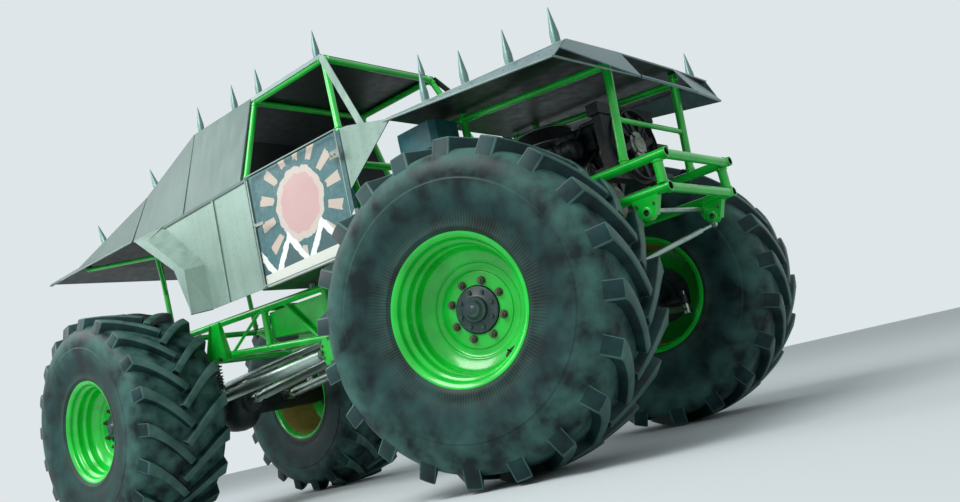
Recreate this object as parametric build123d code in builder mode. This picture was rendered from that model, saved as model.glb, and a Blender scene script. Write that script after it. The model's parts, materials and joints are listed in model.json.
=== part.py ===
from build123d import *
import math
import os

# Monster truck, in millimetres: +X forward, +Y to its left, +Z up.
# The origin is on the ground, at the middle of the whole truck's length and width.

# Wheels and axles
AXLE_Z = 800
FRONT_X = 1954
REAR_X = -1494
WHEEL_Y = 900
RIM_SEAT_RADIUS = 330
RIM_SEAT_OUT = 293
RIM_LIP_RADIUS = 355
RIM_LIP_OUT = 304
BEAD_SLOPE = (350 - RIM_SEAT_OUT) / (600 - RIM_SEAT_RADIUS)
DISC_OFFSET = 103
HUB_RADIUS = 112
SPINDLE_OUT = 42.5
AXLE_TUBE_RADIUS = 80

# Tyres: two rows of lugs that overlap at the middle of the tread
LUG_COUNT = 20
LUG_PITCH = 360 / LUG_COUNT
LUG_FOOT_RADIUS = 600
SHOULDER_TOP_OUT = 300
SHOULDER_FOOT_OUT = 336
SHOULDER_REACH = 172
LUG_EDGES = [
    # inner end's distance from the tyre's middle, its distance round the tread, and the shoulder end's
    (-3, -158, 82),
    (-38, -124, SHOULDER_REACH),
]

# Flats round each kind of round piece
WHEEL_SIDES = 16
HUB_SIDES = 10
BAR_SIDES = 8
TUBE_SIDES = 6
AIR_SIDES = 8
SPIKE_SIDES = 6

# Steering, drawn turned to the left as it stands
STEER_ANGLE = 12.9
KINGPIN_Y = 720
ARM_LENGTH = 200
ARM_DROP = 75
PIN_RADIUS = 12

# Frame tubes
TUBE = 50
THIN_TUBE = 28
FRONT_RAIL_Y = 350
MAIN_RAIL_Y = 380

# Sheet-metal body
SHEET = 6
BELT_Y = 720
BODY_BOTTOM_Z = 1393
DOOR_REAR_X = 126
DOOR_FRONT_X = 1046
BELT_Z = 2123
DOOR_GAP = 8

os.makedirs("parts", exist_ok=True)


def save(piece, name):
    """Label a finished piece and write it to its own file."""
    piece.part.label = name
    export_step(piece.part, f"parts/{name}.step")


def bar(start, end, diameter, sides=None):
    """Bar from start to end, added to the piece being built; it is truly round where sides is 0."""
    run = Vector(*end) - Vector(*start)
    if sides is None:
        sides = TUBE_SIDES if diameter <= TUBE else BAR_SIDES
    with BuildSketch(Plane(origin=start, z_dir=run)) as section:
        if sides:
            RegularPolygon(diameter / 2, sides)
        else:
            Circle(diameter / 2)
    extrude(section.sketch, amount=run.length)


def flat_loft(rings, mode=Mode.ADD):
    """Loft with flat faces through rings of corners; a side that twists is folded on its shorter diagonal."""
    outlines = [rings[0], rings[-1]]
    for lower, upper in zip(rings, rings[1:]):
        for corner in range(len(lower)):
            side = [Vector(*point) for point in (lower[corner - 1], lower[corner], upper[corner], upper[corner - 1])]
            normal = (side[1] - side[0]).cross(side[2] - side[0]).normalized()
            if abs(normal.dot(side[3] - side[0])) < 1e-6:
                outlines.append(side)
                continue
            if (side[2] - side[0]).length > (side[3] - side[1]).length:
                side = side[1:] + side[:1]
            outlines += [side[:3], [side[0], side[2], side[3]]]
    faces = [Face(Wire.make_polygon(outline)) for outline in outlines]
    return add(Solid(Shell(faces)), mode=mode)


def ring_loft(plane, stations, sides=WHEEL_SIDES, mode=Mode.ADD):
    """Turned shape made of flats; each station is a distance along the plane's z axis and a radius."""
    turns = [math.tau * side / sides for side in range(sides)]
    rings = [
        [plane.from_local_coords((radius * math.cos(turn), radius * math.sin(turn), along)) for turn in turns]
        for along, radius in stations
    ]
    flat_loft(rings, mode)


def sheet(corners, thickness=SHEET):
    """Flat sheet through corners; seen from the face it grows to, they run anticlockwise."""
    origin = Vector(*corners[0])
    along = Vector(*corners[1]) - origin
    normal = along.cross(Vector(*corners[2]) - origin)
    plane = Plane(origin=origin, x_dir=along, z_dir=normal)
    flat = [plane.to_local_coords(Vector(*corner)) for corner in corners]
    with BuildSketch(plane) as face:
        with BuildLine():
            Polyline([(point.X, point.Y) for point in flat], close=True)
        make_face()
    extrude(face.sketch, amount=thickness)


def cope(*neighbours):
    """Cut the piece being built back to the surfaces of the finished pieces that it meets."""
    for neighbour in neighbours:
        add(neighbour, mode=Mode.SUBTRACT)


def section_loft(sections):
    """Flat-faced loft through outlines that stand across the truck, each an x and its (y, z) corners."""
    flat_loft([[(x, y, z) for y, z in corners] for x, corners in sections])


# Where each wheel stands: its centre, and the direction of its axle towards the outside
def steered(side, across, ahead=0, up=0):
    """Point beside a kingpin, turned with the steering; across counts outwards."""
    angle = math.radians(STEER_ANGLE)
    y_out = side * across
    x = FRONT_X + ahead * math.cos(angle) - y_out * math.sin(angle)
    y = side * KINGPIN_Y + ahead * math.sin(angle) + y_out * math.cos(angle)
    return (x, y, AXLE_Z + up)


turn = math.radians(STEER_ANGLE)
WHEELS = {
    # wheel: (centre, outward axle direction)
    "fr": (steered(-1, WHEEL_Y - KINGPIN_Y), (math.sin(turn), -math.cos(turn), 0)),
    "fl": (steered(1, WHEEL_Y - KINGPIN_Y), (-math.sin(turn), math.cos(turn), 0)),
    "rr": ((REAR_X, -WHEEL_Y, AXLE_Z), (0, -1, 0)),
    "rl": ((REAR_X, WHEEL_Y, AXLE_Z), (0, 1, 0)),
}


# Tyre in its own frame: x up, z outwards
CASING = [
    # distance outwards from the tyre's middle, radius
    (-350, 600),
    (-285, 738),
    (285, 738),
    (350, 600),
]
TYRE_BORE = [(-350, 600), (-RIM_SEAT_OUT, RIM_SEAT_RADIUS), (RIM_SEAT_OUT, RIM_SEAT_RADIUS), (350, 600)]
AIR_SPACE = [(-230, 690), (230, 690)]

# The tyre stands on two lug corners, a quarter of a pitch before and behind its lowest point
CORNER_RADIUS = AXLE_Z / math.cos(math.radians(LUG_PITCH / 4))
LUG_TOP_RADIUS = math.sqrt(CORNER_RADIUS**2 - SHOULDER_REACH**2)
CORNER_ANGLE = math.degrees(math.asin(SHOULDER_REACH / CORNER_RADIUS))


def lug_section(angle, radius, row, shoulder_out):
    """Outline of a lug across the tread: a slanting bar that ends in a block at the shoulder."""
    turned = math.radians(angle)
    outwards = (math.cos(turned), math.sin(turned), 0)
    plane = Plane(origin=Vector(*outwards) * radius, x_dir=(0, 0, row), z_dir=outwards)
    corners = []
    for inner_out, inner_around, shoulder_around in LUG_EDGES:
        share = (shoulder_out - inner_out) / (SHOULDER_TOP_OUT - inner_out)
        edge = [(inner_out, inner_around), (shoulder_out, inner_around + share * (shoulder_around - inner_around))]
        corners += edge if not corners else edge[::-1]
    return [plane.from_local_coords((out, -row * around, 0)) for out, around in corners]


with BuildPart() as right_tread:
    lugs = []
    for row in (1, -1):
        for step in range(LUG_COUNT):
            angle = 180 - CORNER_ANGLE - row * LUG_PITCH / 4 + step * LUG_PITCH
            foot = lug_section(angle, LUG_FOOT_RADIUS, row, SHOULDER_FOOT_OUT)
            top = lug_section(angle, LUG_TOP_RADIUS, row, SHOULDER_TOP_OUT)
            lugs.append(flat_loft([foot, top], Mode.PRIVATE))
    ring_loft(Plane.XY, CASING)
    add(lugs)
    ring_loft(Plane.XY, TYRE_BORE, mode=Mode.SUBTRACT)
    ring_loft(Plane.XY, AIR_SPACE, AIR_SIDES, Mode.SUBTRACT)
with BuildPart() as left_tread:
    add(mirror(right_tread.part, about=Plane.XZ, mode=Mode.PRIVATE))

# Rim: barrel with a lip at each end, and a dished disc
LIP_INNER_OUT = RIM_SEAT_OUT + BEAD_SLOPE * (RIM_LIP_RADIUS - RIM_SEAT_RADIUS)
BARREL = [
    # distance outwards from the rim's middle, radius
    (-RIM_LIP_OUT, RIM_LIP_RADIUS),
    (-LIP_INNER_OUT, RIM_LIP_RADIUS),
    (-RIM_SEAT_OUT, RIM_SEAT_RADIUS),
    (RIM_SEAT_OUT, RIM_SEAT_RADIUS),
    (LIP_INNER_OUT, RIM_LIP_RADIUS),
    (RIM_LIP_OUT, RIM_LIP_RADIUS),
]
RIM_FACE = [(DISC_OFFSET, 219), (126, 272), (214, 298), (RIM_LIP_OUT, 322)]
RIM_BACK = [(-RIM_LIP_OUT, 322), (66, 292), (DISC_OFFSET - 14, 215)]

# Hub: a flange behind the rim's disc, and a stepped cap in front of it
HUB_BODY = [
    (43, HUB_RADIUS),
    (DISC_OFFSET, HUB_RADIUS),
    (121, 106),
    (125, 60),
    (143, 56),
    (165, 30),
]
HUB_FLANGE = [(59, 172), (DISC_OFFSET - 14, 172)]

for wheel, (centre, outward) in WHEELS.items():
    plane = Plane(origin=centre, x_dir=(0, 0, 1), z_dir=outward)
    tread = right_tread if wheel[1] == "r" else left_tread
    with BuildPart() as tyre:
        add(tread.part.moved(plane.location))
    save(tyre, f"tyre_{wheel}")
    with BuildPart() as rim:
        ring_loft(plane, BARREL)
        ring_loft(plane, RIM_FACE, mode=Mode.SUBTRACT)
        ring_loft(plane, RIM_BACK, mode=Mode.SUBTRACT)
        ring_loft(plane, [(0, HUB_RADIUS + 3), (DISC_OFFSET, HUB_RADIUS + 3)], HUB_SIDES, Mode.SUBTRACT)
    save(rim, f"rim_{wheel}")
    with BuildPart() as hub:
        ring_loft(plane, HUB_BODY, HUB_SIDES)
        ring_loft(plane, HUB_FLANGE, HUB_SIDES)
    save(hub, f"hub_{wheel}")

# Axle beams with round gear cases; the front one is forked round its knuckles
YOKE_Y = 560
YOKE_GAP = 104
GEAR_CASE = [(-165, 95), (-110, 165), (-35, 195), (55, 195), (125, 150), (165, 95)]
axles = {}
for axle_x, name in ((FRONT_X, "front_axle"), (REAR_X, "rear_axle")):
    with BuildPart() as axle:
        bar((axle_x, -YOKE_Y, AXLE_Z), (axle_x, YOKE_Y, AXLE_Z), 2 * AXLE_TUBE_RADIUS)
        ring_loft(Plane(origin=(axle_x, 0, AXLE_Z), x_dir=(0, 0, 1), z_dir=(0, 1, 0)), GEAR_CASE, HUB_SIDES)
        nose = axle_x + (150 if axle_x == REAR_X else -150)
        bar((axle_x, 0, AXLE_Z + 6), (nose + (nose - axle_x) * 0.5, 0, AXLE_Z + 10), 150)
        for side in (-1, 1):
            bar((axle_x, side * 150, AXLE_Z), (axle_x, side * 150, AXLE_Z + 185), 60)
            if axle_x == REAR_X:
                spindle_end = side * (WHEEL_Y + SPINDLE_OUT)
                bar((axle_x, side * YOKE_Y, AXLE_Z), (axle_x, spindle_end, AXLE_Z), 150)
                continue
            bar((axle_x, side * YOKE_Y, AXLE_Z), (axle_x, side * (YOKE_Y + 25), AXLE_Z), 264)
            for level in (YOKE_GAP, -YOKE_GAP - 28):
                with BuildSketch(Plane.XY.offset(AXLE_Z + level)) as fork:
                    with Locations((axle_x, side * (YOKE_Y + KINGPIN_Y + 10) / 2)):
                        Rectangle(120, KINGPIN_Y + 10 - YOKE_Y)
                    with Locations((axle_x, side * KINGPIN_Y)):
                        RegularPolygon(60, BAR_SIDES)
                extrude(fork.sketch, amount=28)
    save(axle, name)
    axles[name] = axle.part

# Knuckles turn between the forks and carry the wheel spindles
for side, name in ((-1, "knuckle_right"), (1, "knuckle_left")):
    eye_play = 0.05 if side == -1 else 1
    with BuildPart() as knuckle:
        bar(steered(side, 0, up=-98), steered(side, 0, up=98), 110)
        bar(steered(side, 0), steered(side, WHEEL_Y - KINGPIN_Y + SPINDLE_OUT), 150)
        bar(steered(side, 0, up=-ARM_DROP), steered(side, 0, ahead=ARM_LENGTH, up=-ARM_DROP), 44)
        bar(
            steered(side, 0, ahead=ARM_LENGTH, up=-ARM_DROP - 25),
            steered(side, 0, ahead=ARM_LENGTH, up=-ARM_DROP + 25),
            60,
        )
        with BuildSketch(Plane(steered(side, 0, ahead=ARM_LENGTH, up=-ARM_DROP - 25))) as eye_hole:
            Circle(PIN_RADIUS + eye_play)
        extrude(eye_hole.sketch, amount=50, mode=Mode.SUBTRACT)
    save(knuckle, name)

# Tie rod hung below the two arms, its studs standing in their eyes
with BuildPart() as tie_rod:
    rod_drop = ARM_DROP + 60
    bar(steered(-1, 0, ahead=ARM_LENGTH, up=-rod_drop), steered(1, 0, ahead=ARM_LENGTH, up=-rod_drop), 40)
    for side in (-1, 1):
        eye = steered(side, 0, ahead=ARM_LENGTH, up=-rod_drop)
        bar((eye[0], eye[1], eye[2] - 28), (eye[0], eye[1], eye[2] + 28), 58)
        bar((eye[0], eye[1], eye[2]), (eye[0], eye[1], eye[2] + 110), 2 * PIN_RADIUS, sides=0)
save(tie_rod, "tie_rod")

# Side trusses of the frame
TRUSS = [
    # start x, start y, start z, end x, end y, end z, diameter
    (2829, FRONT_RAIL_Y, 1336, 1400, FRONT_RAIL_Y, 1336, TUBE),
    (2806, FRONT_RAIL_Y, 1173, 1400, FRONT_RAIL_Y, 1173, TUBE),
    (1400, FRONT_RAIL_Y, 1336, 296, MAIN_RAIL_Y, 1345, TUBE),
    (1400, FRONT_RAIL_Y, 1173, 296, MAIN_RAIL_Y, 1013, TUBE),
    (296, MAIN_RAIL_Y, 1345, -1639, MAIN_RAIL_Y, 1403, TUBE),
    (296, MAIN_RAIL_Y, 1013, -934, MAIN_RAIL_Y, 1141, TUBE),
    (-934, MAIN_RAIL_Y, 1141, -1204, MAIN_RAIL_Y, 1143, TUBE),
    (2200, FRONT_RAIL_Y, 1173, 2200, FRONT_RAIL_Y, 1336, TUBE),
    (1400, FRONT_RAIL_Y, 1173, 1400, FRONT_RAIL_Y, 1336, TUBE),
    (850, 365, 1093, 850, 365, 1340, TUBE),
    (256, MAIN_RAIL_Y, 1017, 256, MAIN_RAIL_Y, 1346, TUBE),
    (-414, MAIN_RAIL_Y, 1087, -414, MAIN_RAIL_Y, 1366, TUBE),
    (-450, MAIN_RAIL_Y, 1367, -880, MAIN_RAIL_Y, 1135, 22),
    (-190, MAIN_RAIL_Y, 1360, 130, MAIN_RAIL_Y, 1030, 28),
    (-1204, MAIN_RAIL_Y, 1143, -1560, MAIN_RAIL_Y, 1400, TUBE),
]
rails = {}
for side, name in ((-1, "frame_right"), (1, "frame_left")):
    with BuildPart() as frame_side:
        for x1, y1, z1, x2, y2, z2, diameter in TRUSS:
            bar((x1, side * y1, z1), (x2, side * y2, z2), diameter)
    save(frame_side, name)
    rails[side] = frame_side.part

# Cross tubes that tie the two trusses together
CROSS_TUBES = [
    # x, z, distance to the middle of each rail
    (1200, 1337, 355),
    (1200, 1145, 355),
    (850, 1120, 365),
    (256, 1346, MAIN_RAIL_Y),
    (256, 1052, MAIN_RAIL_Y),
    (-414, 1369, MAIN_RAIL_Y),
    (-1204, 1143, MAIN_RAIL_Y),
    (-1600, 1402, MAIN_RAIL_Y),
]
with BuildPart() as crossmembers:
    for x, z, half in CROSS_TUBES:
        bar((x, -half, z), (x, half, z), TUBE - 4)
    cope(rails[-1], rails[1])
save(crossmembers, "crossmembers")

# Front bumper loop between the rail ends
with BuildPart() as bumper:
    for x, z in ((2800, 1336), (2782, 1173)):
        bar((x, -FRONT_RAIL_Y, z), (x, FRONT_RAIL_Y, z), TUBE - 2)
    for side in (-1, 1):
        bar((2770, side * FRONT_RAIL_Y, 1180), (2770, side * FRONT_RAIL_Y, 1330), TUBE)
    cope(rails[-1], rails[1])
save(bumper, "bumper")

# Box on the right of the frame, between two posts
with BuildPart() as side_box:
    with BuildSketch(Plane.XZ.offset(MAIN_RAIL_Y - 22)) as box_face:
        with BuildLine():
            Polyline([(-392, 1150), (234, 1088), (234, 1312), (-392, 1328)], close=True)
        make_face()
    extrude(box_face.sketch, amount=-300)
    cope(rails[-1])
save(side_box, "side_box")

# Suspension towers and link plates welded to the frame
BRACKETS = [
    # middle x, distance of the plate's inner face from the centre line
    (-984, MAIN_RAIL_Y + 20),
    (1454, FRONT_RAIL_Y - 30),
]
with BuildPart() as frame_brackets:
    for side in (-1, 1):
        for x, y in BRACKETS:
            with BuildSketch(Plane(origin=(x, side * y, 0), x_dir=(1, 0, 0), z_dir=(0, side, 0))) as tower:
                with BuildLine():
                    Polyline(
                        [(-60, side * -1390), (60, side * -1390), (140, side * -1100), (-140, side * -1100)],
                        close=True,
                    )
                make_face()
            extrude(tower.sketch, amount=8)
        plate_y = side * (MAIN_RAIL_Y + 20)
        with BuildSketch(Plane(origin=(228, plate_y, 935), x_dir=(1, 0, 0), z_dir=(0, side, 0))) as plate:
            RegularPolygon(105, 6)
        extrude(plate.sketch, amount=8)
    cope(rails[-1], rails[1])
save(frame_brackets, "frame_brackets")

# Bumper brackets with their round bosses
with BuildPart() as bumper_brackets:
    for side in (-1, 1):
        with BuildSketch(Plane.XZ.offset(-side * FRONT_RAIL_Y)) as bracket:
            with BuildLine():
                Polyline([(2586, 1156), (2736, 1156), (2700, 1060), (2610, 1073)], close=True)
            make_face()
            with Locations((2656, 1080)):
                RegularPolygon(38, HUB_SIDES)
                Circle(16, mode=Mode.SUBTRACT)
        extrude(bracket.sketch, amount=22, both=True)
    cope(rails[-1], rails[1])
save(bumper_brackets, "bumper_brackets")

# Suspension links and shocks: each shock stands on a lug of the lower link
LINKS = [
    # name, frame end x, axle x, axle end y, shock x, shock y, shock top z, upper link's frame end x and z
    ("rear", 146, REAR_X, 430, -1049, 409, 1100, 256, 1052),
    ("front", 310, FRONT_X, 240, 1454, 321, 1100, 850, 1120),
]
for name, frame_x, axle_x, axle_y, shock_x, shock_y, shock_top, upper_x, upper_z in LINKS:
    share = (shock_x - frame_x) / (axle_x - frame_x)
    link_y = 350 + share * (axle_y - 350)
    link_z = 935 + share * (815 - 935)
    with BuildPart() as links:
        for side in (-1, 1):
            bar((frame_x, side * 350, 935), (axle_x, side * axle_y, 815), 80)
            bar((frame_x, side * 350, 935), (frame_x, side * (MAIN_RAIL_Y + 20), 935), 44)
            bar((upper_x, side * 200, upper_z), (axle_x, side * 150, 960), 50)
            bar((shock_x, side * link_y, link_z), (shock_x, side * link_y, link_z + 60), 50)
        cope(crossmembers.part, axles[f"{name}_axle"])
    save(links, f"{name}_links")
    with BuildPart() as shocks:
        for side in (-1, 1):
            bar((shock_x, side * link_y, link_z + 58), (shock_x, side * shock_y, shock_top), 66)
        cope(links.part, frame_brackets.part)
    save(shocks, f"{name}_shocks")

# Track rod from the left bumper bracket to the right half of the front axle
with BuildPart() as track_rod:
    bar((2662, 330, 1037), (2020, -337, 786), 34)
    cope(bumper_brackets.part, axles["front_axle"])
save(track_rod, "track_rod")

# Brace between the bumper brackets, rising to the left
with BuildPart() as front_brace:
    bar((2618, 20 - FRONT_RAIL_Y, 1104), (2612, FRONT_RAIL_Y - 20, 1132), 26)
    cope(bumper_brackets.part)
save(front_brace, "front_brace")

# Gearbox in the middle of the frame, and its two drive shafts
with BuildPart() as gear_case:
    with BuildSketch(Plane(origin=(420, 0, 1060), x_dir=(0, 1, 0), z_dir=(1, 0, 0))) as case_end:
        Rectangle(300, 320)
        chamfer(case_end.vertices(), 60)
    extrude(case_end.sketch, amount=400)
    bar((630, -371, 1061), (630, 371, 1061), TUBE - 4)
    cope(rails[-1], rails[1])
save(gear_case, "gear_case")
with BuildPart() as drive_shafts:
    bar((500, 0, 1000), (REAR_X, 0, 815), 76)
    bar((760, 0, 1000), (FRONT_X, 0, 815), 76)
    cope(gear_case.part, axles["front_axle"], axles["rear_axle"])
save(drive_shafts, "drive_shafts")

# Body stations: x, crest half width, crest height, belt half width, belt height
STATIONS = [
    (806, 514, 2723, 720, BELT_Z),
    (46, 514, 2738, 720, BELT_Z),
    (-684, 514, 2753, 720, BELT_Z),
    (-1404, 545, 2503, 720, 2148),
    (-2494, 620, 2243, 720, 2172),
    (-2854, 700, 2203, 720, 2181),
]


def roof_section(station):
    x, crest_y, crest_z, belt_y, belt_z = station
    drop = SHEET / (crest_z - belt_z)
    inset = (belt_y - crest_y) * drop - SHEET * math.hypot(1, (belt_y - crest_y) / (crest_z - belt_z))
    inner_y = crest_y + inset
    corners = [(-crest_y, crest_z), (-inner_y, crest_z - SHEET), (inner_y, crest_z - SHEET), (crest_y, crest_z)]
    return x, corners


def side_section(station, side):
    x, crest_y, crest_z, belt_y, belt_z = station
    slope = (belt_y - crest_y) / (crest_z - belt_z)
    across = SHEET * math.hypot(1, slope)
    inner_y = crest_y + slope * SHEET - across
    corners = [(crest_y, crest_z), (belt_y, belt_z), (belt_y - across, belt_z), (inner_y, crest_z - SHEET)]
    return x, [(side * y, z) for y, z in corners]


with BuildPart() as roof:
    section_loft([roof_section(station) for station in STATIONS[:3]])
save(roof, "roof")
with BuildPart() as rear_deck:
    section_loft([roof_section(station) for station in STATIONS[2:]])
save(rear_deck, "rear_deck")
for side, name in ((-1, "upper_side_right"), (1, "upper_side_left")):
    with BuildPart() as upper_side:
        section_loft([side_section(station, side) for station in STATIONS[1:]])
    save(upper_side, name)

# Posts that hold the tail of the body up
with BuildPart() as tail_posts:
    for side in (-1, 1):
        bar((-1600, side * MAIN_RAIL_Y, 1429), (-1650, side * MAIN_RAIL_Y, 2120), 40)
        bar((-1650, side * MAIN_RAIL_Y, 2100), (-2530, side * 542, 2236), 36)
        bar((-1625, side * MAIN_RAIL_Y, 1780), (-1250, side * 640, 2080), 30)
    bar((-1650, -MAIN_RAIL_Y, 2100), (-1650, MAIN_RAIL_Y, 2100), 36)
    cope(rails[-1], rails[1], rear_deck.part)
save(tail_posts, "tail_posts")

# Cab floor on four mounts
FLOOR_Z = 1395
with BuildPart() as cab_floor:
    with BuildSketch(Plane.XY.offset(FLOOR_Z)) as floor_face:
        with Locations((565, 0)):
            Rectangle(1090, 1370)
    extrude(floor_face.sketch, amount=10)
    for x, y in ((150, MAIN_RAIL_Y), (1000, 361)):
        for side in (-1, 1):
            bar((x, side * y, 1345), (x, side * y, FLOOR_Z + 2), TUBE - 4)
    cope(rails[-1], rails[1])
save(cab_floor, "cab_floor")

# Cage inside the cab
DASH_X = 1150
DASH_Z = 1850
with BuildPart() as cab_cage:
    for side in (-1, 1):
        bar((46, side * 680, 1402), (46, side * 680, 2130), 42)
        bar((46, side * 680, 2130), (46, side * 490, 2715), 42)
        bar((46, side * 490, 2715), (800, side * 490, 2700), 42)
        bar((800, side * 490, 2700), (966, side * 640, 2123), 42)
        bar((966, side * 640, 2123), (1060, side * 640, 1402), 42)
    bar((46, -490, 2715), (46, 490, 2715), 42)
    bar((DASH_X, 6 - BELT_Y, DASH_Z), (DASH_X, BELT_Y - 6, DASH_Z), 42)
    bar((800, -490, 2700), (800, 490, 2700), 42)
    cope(cab_floor.part, roof.part)
save(cab_cage, "cab_cage")

# Lower quarter panels behind the doors
for side, name in ((-1, "quarter_right"), (1, "quarter_left")):
    with BuildPart() as quarter:
        with BuildSketch(Plane.XZ.offset(-side * BELT_Y)) as quarter_face:
            with BuildLine():
                Polyline(
                    [
                        (DOOR_REAR_X - DOOR_GAP, BODY_BOTTOM_Z),
                        (DOOR_REAR_X - DOOR_GAP, BELT_Z),
                        (-954, BELT_Z),
                        (-574, 1793),
                        (-524, 1723),
                        (-494, BODY_BOTTOM_Z + 12),
                    ],
                    close=True,
                )
            make_face()
        extrude(quarter_face.sketch, amount=side * SHEET)
    save(quarter, name)

# Box flares over the front of the rear wheels
FLARE_Y = 850
FLARE_INNER = [(-954, 2123), (-574, 1793), (-524, 1723), (-494, 1405)]
FLARE_OUTER = [(-964, 2023), (-574, 1703), (-570, 1700), (-564, 1393)]
FLARE_TOP = [
    # two facets that run back from the front face to the belt
    [(-954, BELT_Y + 2, 2130), (-1384, BELT_Y + 2, 2140), (-1154, FLARE_Y, 2080)],
    [(-954, BELT_Y + 2, 2130), (-1154, FLARE_Y, 2080), (-964, FLARE_Y, 2023)],
]
for side, name in ((-1, "flare_right"), (1, "flare_left")):
    with BuildPart() as flare:
        strips = []
        for y, line in ((BELT_Y, FLARE_INNER), (FLARE_Y, FLARE_OUTER)):
            back = [(x - 14, z - 4) for x, z in line]
            strips.append([(x, side * y, z) for x, z in line + back[::-1]])
        flat_loft(strips)
        for corners in FLARE_TOP:
            rise = [(x, side * y, z) for x, y, z in corners]
            sheet(rise[::side], SHEET)
        with BuildSketch(Plane.XZ.offset(-side * FLARE_Y)) as lip:
            with BuildLine():
                Polyline([(-964, 2023), (-574, 1703), (-564, 1393), (-694, 1731), (-1154, 2080)], close=True)
            make_face()
        extrude(lip.sketch, amount=side * SHEET)
    save(flare, name)

# Doors: folded pans hinged at their front edges
for side, name in ((-1, "door_right"), (1, "door_left")):
    with BuildPart() as door:
        with BuildSketch(Plane.XZ.offset(-side * BELT_Y)) as door_face:
            with BuildLine():
                Polyline(
                    [
                        (DOOR_REAR_X, BODY_BOTTOM_Z),
                        (DOOR_FRONT_X, BODY_BOTTOM_Z - 10),
                        (DOOR_FRONT_X, BELT_Z - 22),
                        (DOOR_REAR_X, BELT_Z - 2),
                    ],
                    close=True,
                )
            make_face()
        extrude(door_face.sketch, amount=side * 30)
    save(door, name)

# Hood: a flat top between two crests, and a band sloping down outside each crest
HOOD_REAR_X = 1431
HOOD_FRONT_X = 2664
HOOD_REAR_Z = 2013
HOOD_FRONT_Z = 1920
HOOD_CREST_Y = 722
HOOD_SLOPE = (HOOD_FRONT_Z - HOOD_REAR_Z) / (HOOD_FRONT_X - HOOD_REAR_X)
NOSE = (2682, 281, HOOD_FRONT_Z + 18 * HOOD_SLOPE)
EDGE_FRONT = (HOOD_FRONT_X, 860, 1813)
EDGE_REAR = (HOOD_REAR_X, 744, 1996)
with BuildPart() as hood:
    nose_x, nose_y, nose_z = NOSE
    sheet(
        [
            (HOOD_REAR_X, -HOOD_CREST_Y, HOOD_REAR_Z),
            (HOOD_REAR_X, HOOD_CREST_Y, HOOD_REAR_Z),
            (HOOD_FRONT_X, HOOD_CREST_Y, HOOD_FRONT_Z),
            (nose_x, nose_y, nose_z),
            (nose_x, -nose_y, nose_z),
            (HOOD_FRONT_X, -HOOD_CREST_Y, HOOD_FRONT_Z),
        ],
        SHEET,
    )
    for side in (-1, 1):
        sheet(
            [
                (HOOD_REAR_X, side * HOOD_CREST_Y, HOOD_REAR_Z),
                (EDGE_REAR[0], side * EDGE_REAR[1], EDGE_REAR[2]),
                (EDGE_FRONT[0], side * EDGE_FRONT[1], EDGE_FRONT[2]),
                (HOOD_FRONT_X, side * HOOD_CREST_Y, HOOD_FRONT_Z),
            ],
            side * SHEET,
        )
save(hood, "hood")

# Cowl sides between the doors and the hood
with BuildPart() as cowl_sides:
    for side in (-1, 1):
        with BuildSketch(Plane.XZ.offset(-side * BELT_Y)) as fin:
            with BuildLine():
                Polyline([(1054, 1735), (1470, 2007), (1431, 2013), (1119, 2096), (1054, 2104)], close=True)
            make_face()
        extrude(fin.sketch, amount=side * SHEET)
    cope(hood.part)
save(cowl_sides, "cowl_sides")

# Windscreen pillars from the roof to the cowl
with BuildPart() as screen_pillars:
    for side in (-1, 1):
        sheet(
            [
                (780, side * 518, 2712),
                (1205, side * 720, 2073),
                (1262, side * 720, 2058),
                (832, side * 518, 2712),
            ][:: side],
        )
    cope(cowl_sides.part)
save(screen_pillars, "screen_pillars")

# Hood frame: four posts, two long tubes and a cross tube
with BuildPart() as hood_frame:
    for side in (-1, 1):
        bar((2594, side * FRONT_RAIL_Y, 1340), (2641, side * FRONT_RAIL_Y, 1919), 45)
        bar((1676, side * FRONT_RAIL_Y, 1340), (1676, side * FRONT_RAIL_Y, 1991), 45)
        bar((1500, side * FRONT_RAIL_Y, 1968), (2636, side * FRONT_RAIL_Y, 1860), 40)
    bar((2614, -FRONT_RAIL_Y, 1583), (2614, FRONT_RAIL_Y, 1583), THIN_TUBE)
    cope(rails[-1], rails[1], hood.part)
save(hood_frame, "hood_frame")

# Sloping front of the hood on each side of its mouth, joined by the lip
with BuildPart() as hood_front:
    for side in (-1, 1):
        sheet(
            [
                (2672, side * 724, 1919),
                (2690, side * 281, 1918),
                (2783, side * 299, 1746),
                (2672, side * 860, 1813),
            ][:: -side],
            SHEET,
        )
    bar((2783, -299, 1746), (2783, 299, 1746), 16)
    cope(hood.part)
save(hood_front, "hood_front")

# Driver's seat and steering wheel
with BuildPart() as seat:
    with BuildSketch(Plane.XZ) as seat_side:
        with BuildLine():
            Polyline([(200, 1405), (720, 1405), (720, 1560), (340, 1560), (250, 2150), (130, 2150)], close=True)
        make_face()
    extrude(seat_side.sketch, amount=240, both=True)
save(seat, "seat")
with BuildPart() as steering_wheel:
    bar((DASH_X, 0, DASH_Z), (1040, 0, 1930), 40)
    with BuildSketch(Plane(origin=(1040, 0, 1930), z_dir=(-110, 0, 80))) as wheel_rim:
        RegularPolygon(190, WHEEL_SIDES)
        RegularPolygon(162, WHEEL_SIDES, mode=Mode.SUBTRACT)
        for spoke_angle in (90, 210, 330):
            with Locations(Rotation(0, 0, spoke_angle)):
                Rectangle(172, 24, align=(Align.MIN, Align.CENTER))
    extrude(wheel_rim.sketch, amount=24)
    cope(cab_cage.part)
save(steering_wheel, "steering_wheel")

# Spikes along the edges of the hood and the body
SPIKE_LENGTH = 200
SPIKE_RADIUS = 23


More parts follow.
